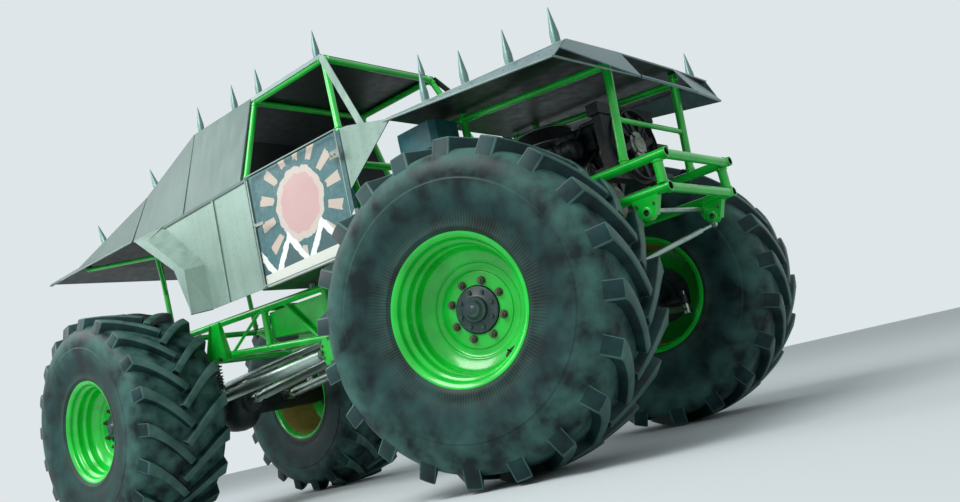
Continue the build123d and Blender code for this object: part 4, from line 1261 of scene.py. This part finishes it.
def chain_of_tubes(piece, points, diameter, segments):
    """Thin tubes from each point to the next."""
    for start, end in zip(points, points[1:]):
        tube(piece, start, end, diameter, segments)


WALL_Y = 0.7265
LAP_Z = 2.118
QUARTER_TOP_Z = 2.108
SLANTED_LAPS = [
    # x, then y and z of the lap's lower and upper end
    (0.030, (0.720, 2.128), (0.514, 2.733)),
    (-0.684, (0.720, 2.128), (0.514, 2.748)),
    (-1.404, (0.720, 2.152), (0.545, 2.500)),
]
HOOD_EDGE = [(1.431, 0.744, 1.996), (2.664, 0.860, 1.813), (2.775, 0.299, 1.748)]
HOOD_FOLD = [(1.433, 0.722, 2.012), (2.662, 0.722, 1.920)]
HOOD_NOSE = [(2.666, 0.722, 1.919), (2.682, 0.281, 1.918)]
ROOF_EDGE = [(0.806, 0.516, 2.7105), (0.046, 0.516, 2.7255)]
TAIL_EDGE = [(-1.404, 0.720, 2.148), (-2.494, 0.720, 2.172), (-2.850, 0.700, 2.183)]
laps, quarter_laps, rivets, edges = bmesh.new(), bmesh.new(), bmesh.new(), bmesh.new()
for side in (-1, 1):
    wall, out = side * WALL_Y, (0, side, 0)
    strap(laps, (0.118, wall, LAP_Z), (-0.954, wall, LAP_Z), 0.020, 0.002)
    rivet_row(rivets, (0.118, wall, LAP_Z), (-0.954, wall, LAP_Z), 14, out, 0.004)
    for x in (0.108, -0.300):
        low, high = (x - 0.010, wall - 0.001, 1.398), (x + 0.010, wall + 0.001, QUARTER_TOP_Z)
        block(quarter_laps, low, high, 0.0005, 1)
        rivet_row(rivets, (x, wall, 1.400), (x, wall, QUARTER_TOP_Z), 9, out, 0.004)
    slant = Vector((0, side * 0.943, 0.332))
    for x, low, high in SLANTED_LAPS:
        start, end = (spot + slant * 0.002 for spot in mirrored([(x, *low), (x, *high)], side))
        strap(laps, start, end, 0.003, 0.022)
        rivet_row(rivets, start, end, 8, slant, 0.004)
    chain_of_tubes(edges, mirrored(HOOD_EDGE, side), 0.012, 10)
    chain_of_tubes(edges, mirrored(HOOD_FOLD, side), 0.007, 8)
    chain_of_tubes(edges, mirrored(HOOD_NOSE, side), 0.010, 8)
    hood_rivets = mirrored([(1.470, 0.736, 2.000), (2.650, 0.790, 1.869)], side)
    rivet_row(rivets, *hood_rivets, 16, (0, side * 0.6, 0.8), 0.006)
    strap(edges, *mirrored(ROOF_EDGE, side), 0.026, 0.004)
    chain_of_tubes(edges, mirrored(TAIL_EDGE, side), 0.012, 10)
tube(edges, (2.682, -0.281, 1.918), (2.682, 0.281, 1.918), 0.010, 8)
tube(edges, (2.779, -0.299, 1.747), (2.779, 0.299, 1.747), 0.016, 12)
tube(edges, (-2.850, -0.695, 2.200), (-2.850, 0.695, 2.200), 0.012, 10)
finish_piece(laps, "riveted_laps", "chassis", upper_sheet)
finish_piece(quarter_laps, "quarter_laps", "chassis", lower_sheet)
finish_piece(rivets, "lap_rivets", "chassis", dull_zinc)
finish_piece(edges, "rolled_edges", "chassis", edge_sheet)

# %% Door trim, hinges and levers
DOOR_FACE_Y = 0.7505
DOOR_CORNERS = [(0.128, 1.395), (1.044, 1.386), (1.044, 2.099), (0.128, 2.119)]
HINGE_X = joints["door_left_hinge"]["pos_m"][0]
LEVER_Z = 1.780
for side, name in ((-1, "right"), (1, "left")):
    wall = side * DOOR_FACE_Y
    proud = wall + side * 0.003
    trim, fittings = bmesh.new(), bmesh.new()
    corners = [(x, wall, z) for x, z in DOOR_CORNERS]
    chain_of_tubes(trim, corners + corners[:1], 0.010, 12)
    for z in (1.540, 1.960):
        tube(fittings, (HINGE_X, wall, z - 0.040), (HINGE_X, wall, z + 0.040), 0.016, 16)
        low_y, high_y = sorted((wall, proud))
        block(fittings, (0.960, low_y, z - 0.025), (HINGE_X, high_y, z + 0.025), 0.001, 1)
        for x in (0.975, 1.005):
            hex_head(fittings, (x, proud, z), (0, side, 0), 0.010, 0.005)
    lever_y = wall + side * 0.022
    tube(fittings, (0.185, wall, LEVER_Z), (0.185, wall + side * 0.020, LEVER_Z), 0.030, 20)
    strap(fittings, (0.170, lever_y, LEVER_Z), (0.275, lever_y, LEVER_Z - 0.004), 0.020, 0.008)
    finish_piece(trim, f"door_trim_{name}", f"door_{name}", edge_sheet)
    finish_piece(fittings, f"door_fittings_{name}", f"door_{name}", dull_zinc)

# %% [markdown]
# ## Engine
# A V8 fills the bay. Its exhausts are bent pipe, and a round filter with a pleated element sits on the
# intake chest. The block itself keeps its own solid. A bend is a few straight tubes with a ball in each
# knee, which looks smooth at this size. The pleats are a drum whose every other corner is drawn in.


# %% Exhausts
def bent_pipe(piece, points, diameter, segments):
    """Pipe through points, with a ball in each knee that closes the bend."""
    chain_of_tubes(piece, points, diameter, segments)
    for knee in points[1:-1]:
        bmesh.ops.create_uvsphere(
            piece, u_segments=segments - 4, v_segments=segments // 2, radius=diameter / 2,
            matrix=Matrix.Translation(knee),
        )


BRANCHES_X = (1.730, 1.875, 2.020, 2.165)
BRANCH_BEND = [
    # distance ahead of the port, y, z
    (0, 0.200, 1.400),
    (-0.010, 0.250, 1.370),
    (-0.030, 0.272, 1.335),
    (-0.050, 0.275, 1.296),
]
pipes = bmesh.new()
for side in (-1, 1):
    for port_x in BRANCHES_X:
        bend = mirrored([(port_x + ahead, y, z) for ahead, y, z in BRANCH_BEND], side)
        bent_pipe(pipes, bend, 0.045, 20)
    open_tube(pipes, (2.150, side * 0.275, 1.290), (1.500, side * 0.275, 1.290), 0.064, 0.004)
# The exhausts' open insides take the second finish, as painted shade
finish_piece(
    pipes, "bent_exhausts", "chassis", [heated_steel, radiator_black], ["exhaust_headers"]
)

# %% Intake chest and filter
CHEST_BOTTOM = [(0, 0), (0, 0.060), (0.7, 0.060), (0.8, 0.050), (1, 0.050), (1, 0)]
FILTER_LID = [(0, 0), (0, 0.160), (0.3, 0.165), (0.7, 0.165), (1, 0.158), (1, 0)]
FILTER_X = 1.950
PLEATS = 128
PLEAT_CREST = 0.158
PLEAT_FOOT = 0.149
intake = bmesh.new()
for side in (-1, 1):
    for port_x in BRANCHES_X:
        tube(intake, (port_x, side * 0.040, 1.595), (port_x, side * 0.128, 1.545), 0.050, 24)
block(intake, (1.700, -0.065, 1.560), (2.200, 0.065, 1.630), 0.012, 3)
block(intake, (1.865, -0.085, 1.562), (2.035, 0.085, 1.629), 0.010, 3)
turned(intake, (FILTER_X, 0, 1.620), (FILTER_X, 0, 1.710), CHEST_BOTTOM, 40)
for low, high in ((1.695, 1.708), (1.776, 1.790)):
    turned(intake, (FILTER_X, 0, low), (FILTER_X, 0, high), FILTER_LID, 64)
hex_head(intake, (FILTER_X, 0, 1.786), (0, 0, 1), 0.016, 0.004, 2.0)
finish_piece(intake, "cast_intake", "chassis", cast_aluminium, ["engine_intake"])

pleats = spun([(1.708, 0.0), (1.708, PLEAT_CREST), (1.776, PLEAT_CREST), (1.776, 0.0)], PLEATS)
for vert in pleats.verts:
    step = round(math.atan2(vert.co.y, vert.co.x) / math.tau * PLEATS)
    if step % 2 and vert.co.xy.length > 0.1:
        vert.co.xy = vert.co.xy * (PLEAT_FOOT / PLEAT_CREST)
piece = bmesh.new()
add_shape(piece, pleats, Matrix.Translation((FILTER_X, 0, 0)))
pleats.free()
finish_piece(piece, "pleated_filter", "chassis", belt_rubber, ["engine_intake"], 20)

# %% [markdown]
# ### Pulleys and belt
# The crank's pulley drives two smaller ones through one belt. Each pulley is turned with its groove and
# its dished face. The belt's path is the hull of the three circles in the grooves, as a tight belt's is.
# That loop is extruded along the four sides of the belt's section, back to where it began.

# %% Pulleys
PULLEYS = [
    # y, z, radius
    (0.000, 1.260, 0.090),
    (0.000, 1.518, 0.075),
    (-0.190, 1.430, 0.045),
]
BELT_DEPTH = 0.007
CIRCLE_STEPS = 48


def pulley_line(radius):
    """Section of a pulley from its back to its dished face, as (share of the width, radius)."""
    back = [(0, 0), (0, radius - 0.004), (0.08, radius), (0.16, radius)]
    groove = [(0.24, radius - 0.008), (0.76, radius - 0.008), (0.84, radius), (0.95, radius)]
    face = [(1, radius - 0.006), (0.85, radius - 0.016), (0.70, radius * 0.45)]
    boss = [(0.98, radius * 0.40), (1, radius * 0.30), (1, 0)]
    return back + groove + face + boss


pulleys, circles = bmesh.new(), []
for y, z, radius in PULLEYS:
    turned(pulleys, (2.280, y, z), (2.312, y, z), pulley_line(radius), 48)
    tube(pulleys, (2.220, y, z), (2.281, y, z), radius * 1.2, 24)
    hex_head(pulleys, (2.308, y, z), (1, 0, 0), 0.020, 0.004, 1.6)
    for step in range(CIRCLE_STEPS):
        turn = math.tau * step / CIRCLE_STEPS
        reach = radius - BELT_DEPTH
        circles.append(Vector((y + reach * math.cos(turn), z + reach * math.sin(turn))))
finish_piece(pulleys, "turned_pulleys", "chassis", dull_zinc, ["belt_drive"])

# %% Belt
BELT_SECTION = [
    # x, distance out of the groove
    (2.286, 0.0),
    (2.286, BELT_DEPTH),
    (2.306, BELT_DEPTH),
    (2.306, 0.0),
]
belt = bmesh.new()
path = [circles[index] for index in geometry.convex_hull_2d(circles)]
middle = sum(path, Vector((0, 0))) / len(path)
x, spread = BELT_SECTION[-1]
corners = [belt.verts.new((x, *spot)) for spot in path]
edges = [belt.edges.new(pair) for pair in zip(corners, corners[1:] + corners[:1])]
for next_x, next_spread in BELT_SECTION:
    made = bmesh.ops.extrude_edge_only(belt, edges=edges)["geom"]
    edges = [item for item in made if isinstance(item, bmesh.types.BMEdge)]
    for vert in {vert for edge in edges for vert in edge.verts}:
        outward = (vert.co.yz - middle).normalized()
        vert.co += Vector((next_x - x, *(outward * (next_spread - spread))))
    x, spread = next_x, next_spread
bmesh.ops.remove_doubles(belt, verts=belt.verts, dist=1e-5)
bmesh.ops.recalc_face_normals(belt, faces=belt.faces)
finish_piece(belt, "ribbed_belt", "chassis", belt_rubber, ["belt_drive"])

# %% [markdown]
# ### Pipes, breather and alternator
# Dark shapes crowd the space between the engine and the radiator. The fat one is the upper coolant
# pipe, and beside it stand a can-shaped breather and the alternator. A dark box on top fills the gap
# there as painted shade. Bent pipe, turned cans and soft-edged blocks are enough, because the bay lies in
# deep shade.

# %% Coolant pipes
COOLANT_LINE = [
    (2.424, 0.080, 1.672),
    (2.350, 0.080, 1.668),
    (2.285, 0.074, 1.650),
    (2.232, 0.062, 1.612),
    (2.205, 0.054, 1.550),
]
HEATER_PIPE_KNEE = (2.330, -0.205, 1.668)
pipes = bmesh.new()
bent_pipe(pipes, COOLANT_LINE, 0.058, 24)
tube(pipes, HEATER_PIPE_KNEE, (2.425, -0.205, 1.668), 0.026, 16)
tube(pipes, HEATER_PIPE_KNEE, (2.215, -0.110, 1.640), 0.026, 16)
finish_piece(pipes, "coolant_pipes", "chassis", black_chassis_paint)

# %% Breather, alternator and ignition box
BREATHER_LINE = [
    # share of the way up, radius
    (0, 0),
    (0, 0.060),
    (0.08, 0.066),
    (0.16, 0.060),
    (0.80, 0.060),
    (0.86, 0.066),
    (0.93, 0.062),
    (1, 0.040),
    (1, 0),
]
ALTERNATOR_LINE = [
    # share of the way forwards, radius
    (0, 0),
    (0, 0.048),
    (0.1, 0.060),
    (0.3, 0.062),
    (0.34, 0.056),
    (0.62, 0.056),
    (0.66, 0.062),
    (0.85, 0.060),
    (1, 0.040),
    (1, 0),
]
piece = bmesh.new()
turned(piece, (2.175, -0.100, 1.520), (2.175, -0.100, 1.700), BREATHER_LINE, 48)
turned(piece, (2.190, -0.245, 1.560), (2.300, -0.245, 1.560), ALTERNATOR_LINE, 48)
# The alternator's bracket, and a dark box on the front of the block that fills the gap as painted shade
block(piece, (2.150, -0.275, 1.420), (2.260, -0.215, 1.540), 0.010, 3)
block(piece, (2.130, -0.045, 1.570), (2.290, 0.045, 1.725), 0.012, 3)
finish_piece(piece, "breather_and_alternator", "chassis", oily_iron)

# %% [markdown]
# ### Fan
# An electric fan hangs on the front of the radiator: a pressed ring, eight flat blades on a motor, and
# four stays that carry it. The ring is spun, and the blades and stays are bars laid outwards from the
# middle by the same turn, so that their count is one number each.

# %% Fan on the radiator
FAN_MIDDLE = Vector((2.492, 0, 1.518))
FAN_RING = [(0, 0.188), (0.030, 0.188), (0.030, 0.196), (0.004, 0.200), (0, 0.214)]
MOTOR_LINE = [
    # share of the way forwards, radius
    (0, 0),
    (0, 0.074),
    (0.6, 0.074),
    (0.72, 0.070),
    (0.72, 0.052),
    (0.9, 0.050),
    (0.9, 0.030),
    (1, 0.026),
    (1, 0),
]
BLADES = 8
BLADE_SWEEP = 0.25
STAYS = 4


def on_fan(ahead, radius, turn):
    """Point so far ahead of the fan's middle and so far out from it, at a turn."""
    return FAN_MIDDLE + Vector((ahead, radius * math.cos(turn), radius * math.sin(turn)))


shroud, motor = bmesh.new(), bmesh.new()
spin_into(shroud, FAN_RING, 64, Matrix.Translation(FAN_MIDDLE) @ Matrix.Rotation(quarter, 4, "Y"))
for step in range(BLADES):
    turn = math.tau * step / BLADES
    strap(shroud, on_fan(0.014, 0.060, turn), on_fan(0.014, 0.184, turn + BLADE_SWEEP), 0.034, 0.012)
for step in range(STAYS):
    turn = math.tau * (step + 0.5) / STAYS
    tube(shroud, on_fan(0.026, 0.040, turn), on_fan(0.026, 0.194, turn), 0.010, 10)
# The fan's switch box
block(shroud, (2.470, 0.180, 1.480), (2.510, 0.340, 1.545), 0.004, 2)
turned(motor, FAN_MIDDLE, FAN_MIDDLE + Vector((0.036, 0, 0)), MOTOR_LINE, 48)
finish_piece(shroud, "fan_shroud", "chassis", radiator_black)
finish_piece(motor, "fan_motor", "chassis", dull_zinc)

# %% [markdown]
# ## Seat
# The seat is a bucket of moulded foam under woven cloth, on a frame of thin tube. Each pad is crowned,
# fullest in the middle and pulled in at its seams.

# %% Seat pads
SEAT_PADS = [
    # name, middle, size across, along and deep, tilt in degrees
    ("seat_base", (0.455, 0, 1.487), (0.470, 0.500, 0.150), -3),
    ("seat_back", (0.237, 0, 1.815), (0.470, 0.160, 0.560), 8.5),
    ("head_rest", (0.190, 0, 2.085), (0.280, 0.100, 0.120), 8.5),
]


def crowned_pad(middle, size, tilt):
    """Box whose corners are drawn in and whose faces swell, like foam under a sewn cover."""
    pad = bmesh.new()
    bmesh.ops.create_cube(pad, size=2)
    bmesh.ops.subdivide_edges(pad, edges=pad.edges[:], cuts=13, use_grid_fill=True)
    for vert in pad.verts:
        spot = vert.co.copy()
        for axis in range(3):
            one, other = spot[axis - 1], spot[axis - 2]
            crown = 0.86 + 0.14 * (1 - one**2) * (1 - other**2)
            seam = 1 - (1 - one**6) * (1 - other**6)
            vert.co[axis] = spot[axis] * crown * (1 - 0.03 * seam)
    across, along, deep = size
    shape = Matrix.Diagonal((along / 2, across / 2, deep / 2, 1))
    pad.transform(Matrix.Translation(middle) @ Matrix.Rotation(math.radians(-tilt), 4, "Y") @ shape)
    return pad


for name, middle, size, tilt in SEAT_PADS:
    foam = crowned_pad(middle, size, tilt)
    pad = finish_piece(foam, name, "chassis", seat_cloth, ["seat"], 80)

# %% Seat frame
piece = bmesh.new()
block(piece, (0.205, -0.235, 1.406), (0.700, 0.235, 1.430), 0.008)
for side in (-1, 1):
    welded_tube(piece, (0.150, side * 0.215, 1.420), (0.150, side * 0.215, 2.060), 0.028)
finish_piece(piece, "seat_frame", "chassis", black_chassis_paint, ["seat"])

# %% [markdown]
# ## Steering wheel
# The steering wheel is a padded ring on three flat spokes, at the end of its column. The ring is a small
# circle spun round the column's line, and the spokes are bars laid from the middle into the ring.

# %% Steering wheel
WHEEL_MIDDLE = Vector((1.040, 0, 1.930))
TOWARDS_SEAT = Vector((-110, 0, 80)).normalized()
GRIP = 0.012
GRIP_STEPS = 12
grip_turns = [math.tau * step / GRIP_STEPS for step in range(GRIP_STEPS)]
grip_ring = [(GRIP + GRIP * math.cos(turn), 0.175 + GRIP * math.sin(turn)) for turn in grip_turns]
piece = bmesh.new()
place, _ = lay_along(WHEEL_MIDDLE, WHEEL_MIDDLE + TOWARDS_SEAT)
spin_into(piece, grip_ring, 64, place)
for degrees in (90, 210, 330):
    tip = Matrix.Rotation(math.radians(degrees), 4, "Z") @ Vector((0.170, 0, GRIP))
    strap(piece, place @ Vector((0, 0, GRIP)), place @ tip, 0.024, 0.006)
tube(piece, WHEEL_MIDDLE, WHEEL_MIDDLE + TOWARDS_SEAT * 0.024, 0.060, 32)
tube(piece, (1.145, 0, 1.854), WHEEL_MIDDLE, 0.040, 24)
finish_piece(piece, "ring_steering_wheel", "chassis", black_plastic, ["steering_wheel"])

# %% [markdown]
# ## Spikes
# Each spike is a steel tube drawn to a point: the lower third is straight and the rest a slim cone with
# a blunt tip, and a small collar of weld holds it to the sheet. All of that is one outline, so a spike is
# the outline spun, and leant back where it stands on the tail.

# %% Turn the spikes
HOOD_SLOPE = (1.920 - 2.013) / (2.664 - 1.431)
SPIKE_LINE = [
    # distance from the foot, radius
    (-0.006, 0.0),
    (-0.006, 0.0225),
    (0.000, 0.0285),
    (0.004, 0.0270),
    (0.008, 0.0228),
    (0.060, 0.0228),
    (0.068, 0.0218),
    (0.190, 0.0035),
    (0.196, 0.0022),
    (0.199, 0.0),
]


def turned_spikes(name, feet):
    """A spike on both sides at each foot of (x, y, z, degrees that it leans back)."""
    piece = bmesh.new()
    for x, y, z, lean in feet:
        slant = math.radians(lean)
        for side in (-1, 1):
            shape = spun(SPIKE_LINE, 24)
            add_shape(piece, shape, Matrix.Translation((x, side * y, z)) @ Matrix.Rotation(-slant, 4, "Y"))
            shape.free()
    finish_piece(piece, f"turned_{name}", "chassis", spike_steel, [name])


HOOD_FEET = [(x, 0.690, 2.013 + (x - 1.431) * HOOD_SLOPE, 0) for x in (1.724, 2.012, 2.308, 2.596)]
BODY_FEET = [
    (0.738, 0.485, 2.724, 0),
    (0.107, 0.485, 2.736, 0),
    (-0.184, 0.485, 2.742, 0),
    (-0.624, 0.485, 2.751, 0),
    (-1.304, 0.500, 2.540, 18),
    (-2.104, 0.560, 2.338, 22),
]
turned_spikes("hood_spikes", HOOD_FEET)
turned_spikes("body_spikes", BODY_FEET)

# %% [markdown]
# ## Finishes of the solids that stay
# Panels, brackets and boxes are already the right shape, so their own solids are shown. Each gets the
# finish of the real part on its material slots, and its mesh is left alone.


# %% Dress the solids
def dress(names, finish):
    """Give solids one finish and leave their meshes alone."""
    for name in names:
        solid = frame["nodes"][name]
        solid.data.materials.clear()
        solid.data.materials.append(finish)


DRESSED = [
    (["hood", "hood_front"], hood_sheet),
    (["roof", "rear_deck", "upper_side_right", "upper_side_left"], upper_sheet),
    (["quarter_right", "quarter_left", "flare_right", "flare_left"], lower_sheet),
    (["cowl_sides", "screen_pillars", "cab_floor"], lower_sheet),
    (["side_box", "frame_brackets", "bumper_brackets"], green_powder_coat),
    (["engine_block", "gear_case"], oily_iron),
    (["radiator"], radiator_black),
    (["coolant_tank"], teal_plastic),
]
for names, finish in DRESSED:
    dress(names, finish)
print("dressed", sum(len(names) for names, _ in DRESSED), "solids")

# %% [markdown]
# ## The printed doors
# A print covers each door: sun, peaks and rays in pink, white and beige on teal. It is drawn in nodes
# from the place on the door alone, u along the truck and v upwards, and weather has rubbed it. Each shape
# is a test that gives 0 or 1, and the inks are laid over each other in the order of the list.


# %% Print the doors
SUN_MIDDLE_X = 0.586
SUN_MIDDLE_Z = 1.805
DOOR_HALF = 0.46


def make_door_print():
    """Worn print of a sun with rays above snowy peaks."""
    material, tree, shader, where = start_finish("printed_door_film", Coat_Weight=0.2, Coat_Roughness=0.3)
    split = add_node(tree, "SeparateXYZ", links={"Vector": where})
    wear = speckle(tree, where, 60, 5.0, 0.3, 0.7)
    ragged = add_node(tree, "MapRange", {"To Min": -0.03, "To Max": 0.03}, {"Value": wear}).outputs[0]
    shares = []
    for middle, place in ((SUN_MIDDLE_X, split.outputs[0]), (SUN_MIDDLE_Z, split.outputs[2])):
        reach = {"From Min": middle, "From Max": middle + DOOR_HALF}
        shares.append(add_node(tree, "MapRange", reach, {"Value": place}, clamp=False).outputs[0])
    u, v = shares

    # The sun, its halo and the ring of rays, told apart by the distance from the middle
    flat = add_node(tree, "CombineXYZ", links={0: u, 1: v, 2: ragged})
    distance = add_node(tree, "VectorMath", links={0: flat.outputs[0]}, operation="LENGTH").outputs["Value"]
    uneven = add_node(tree, "Math", links={0: distance, 1: ragged}, operation="ADD").outputs[0]
    sun = add_node(tree, "Math", {1: 0.40}, {0: uneven}, operation="LESS_THAN").outputs[0]
    halo = add_node(tree, "Math", {1: 0.50}, {0: uneven}, operation="LESS_THAN").outputs[0]
    ring = add_node(tree, "Math", {1: 0.72, 2: 0.14}, {0: uneven}, operation="COMPARE").outputs[0]
    angle = add_node(tree, "Math", links={0: v, 1: u}, operation="ARCTAN2")
    waves = add_node(tree, "Math", {1: 14.0}, {0: angle.outputs[0]}, operation="MULTIPLY")
    crest = add_node(tree, "Math", links={0: waves.outputs[0]}, operation="SINE")
    spoke = add_node(tree, "Math", {1: 0.35}, {0: crest.outputs[0]}, operation="GREATER_THAN").outputs[0]
    ray = add_node(tree, "Math", links={0: ring, 1: spoke}, operation="MULTIPLY").outputs[0]

    # Snowy peaks: a zigzag that the height is held against, twice
    zigzag = add_node(tree, "Math", {1: 0.36}, {0: u}, operation="PINGPONG")
    peak_line = add_node(tree, "Math", {1: 1.25, 2: -0.74}, {0: zigzag.outputs[0]}, operation="MULTIPLY_ADD")
    above = add_node(tree, "Math", links={0: v, 1: peak_line.outputs[0]}, operation="SUBTRACT")
    above = add_node(tree, "Math", links={0: above.outputs[0], 1: ragged}, operation="ADD").outputs[0]
    snow = add_node(tree, "Math", {1: 0.0}, {0: above}, operation="LESS_THAN").outputs[0]
    rock = add_node(tree, "Math", {1: -0.16}, {0: above}, operation="LESS_THAN").outputs[0]
    foot = add_node(tree, "Math", {1: -0.74}, {0: v}, operation="LESS_THAN").outputs[0]
    rubbed = speckle(tree, where, 25, 8.0, 0.64, 0.9)

    print_inks = [
        # where the ink lies, and its colour
        (ray, "#b9aa9b"),
        (halo, "#bfb4aa"),
        (sun, "#bf9a98"),
        (snow, "#dfe3dc"),
        (rock, "#1f4c52"),
        (foot, "#cfd2c8"),
        (rubbed, "#8e9a92"),
    ]
    teal = {6: linear("#1d5258"), 7: linear("#2c6a6c")}
    colour = add_node(tree, "Mix", teal, {0: speckle(tree, where, 30, 6.0)}, data_type="RGBA").outputs[2]
    for share, ink in print_inks:
        spread = {0: share, 6: colour}
        colour = add_node(tree, "Mix", {7: linear(ink)}, spread, data_type="RGBA").outputs[2]
    worn = speckle(tree, where, 120)
    gloss = add_node(tree, "MapRange", {"To Min": 0.35, "To Max": 0.55}, {"Value": worn}).outputs[0]
    drive(tree, shader, Base_Color=colour, Roughness=gloss)
    return material


door_print = make_door_print()
dress(["door_right", "door_left"], door_print)
print("printed the doors with", door_print.name)

# %% [markdown]
# ## Stage and light
# The truck stands on a plain pale floor under a soft sky, as on an overcast day. The pale background is
# only seen by the camera and in reflections, so it adds no light. A wide lamp high on the right throws
# the soft shadow, and a weak one behind lights the tail.

# %% Floor and sky
FLOOR_RADIUS = 60
disc = bmesh.new()
level = Matrix.Translation((0, 0, -0.001))
bmesh.ops.create_circle(disc, cap_ends=True, segments=96, radius=FLOOR_RADIUS, matrix=level)
mesh = bpy.data.meshes.new("floor")
disc.to_mesh(mesh)
disc.free()
floor = bpy.data.objects.new("floor", mesh)
bpy.context.scene.collection.objects.link(floor)
floor_finish, _, floor_shader, _ = start_finish("pale_floor", Roughness=0.9)
floor_shader.inputs["Base Color"].default_value = linear("#c6ccce")
mesh.materials.append(floor_finish)

world = bpy.data.worlds.new("soft_sky")
bpy.context.scene.world = world
world.use_nodes = True
tree = world.node_tree
tree.nodes.clear()
sky = add_node(tree, "Background", {"Color": linear("#e9f1f4"), "Strength": 0.62})
seen = add_node(tree, "Background", {"Color": linear("#dfe6e9"), "Strength": 1.0})
ray = add_node(tree, "LightPath").outputs
direct = ray["Is Camera Ray"]
for bounce in ("Is Glossy Ray", "Is Transmission Ray"):
    direct = add_node(tree, "Math", links={0: direct, 1: ray[bounce]}, operation="MAXIMUM").outputs[0]
mixed = add_node(tree, "MixShader", links={0: direct, 1: sky.outputs[0], 2: seen.outputs[0]})
add_node(tree, "OutputWorld", links={"Surface": mixed.outputs[0]})
print("floor", FLOOR_RADIUS * 2, "m across under", world.name)


# %% Two soft lamps
def soft_box(name, at, target, width, watts):
    """Square area lamp that looks at a target."""
    lamp = bpy.data.lights.new(name, "AREA")
    lamp.size = width
    lamp.energy = watts
    made = bpy.data.objects.new(name, lamp)
    made.location = at
    made.rotation_euler = (Vector(target) - Vector(at)).to_track_quat("-Z", "Y").to_euler()
    bpy.context.scene.collection.objects.link(made)
    print(name, watts, "W")


soft_box("sky_key", (0.6, -7.4, 8.8), (0.3, 0, 1.2), 6.0, 960)
soft_box("rear_fill", (-6.5, -4.0, 6.0), (-1.0, 0, 1.2), 5.0, 260)

# %% [markdown]
# ## Camera
# The camera stands low, ahead and to the right of the front wheels, and is tilted, as in the photo. Its
# place, its three directions and its lens were fitted to the rims, the axles and the body's lines.
# The three directions are the columns of its matrix, because a camera looks along its own -z.

# %% Camera
CAMERA_SPOT = (4.6776, -4.1449, 0.3441)
CAMERA_RIGHT = Vector((0.73076, 0.64635, -0.21958))
CAMERA_UP = Vector((0.27938, 0.01030, 0.96012))
CAMERA_AHEAD = Vector((-0.62284, 0.76297, 0.17305))
lens = bpy.data.cameras.new("camera")
lens.sensor_width = 36
lens.lens = 33.34
lens.clip_end = 200
camera = bpy.data.objects.new("camera", lens)
turn = Matrix((CAMERA_RIGHT, CAMERA_UP, -CAMERA_AHEAD)).transposed().to_4x4()
camera.matrix_world = Matrix.Translation(CAMERA_SPOT) @ turn
bpy.context.scene.collection.objects.link(camera)
bpy.context.scene.camera = camera
bpy.context.scene.view_settings.view_transform = "Standard"
print("camera with a lens of", lens.lens, "mm")
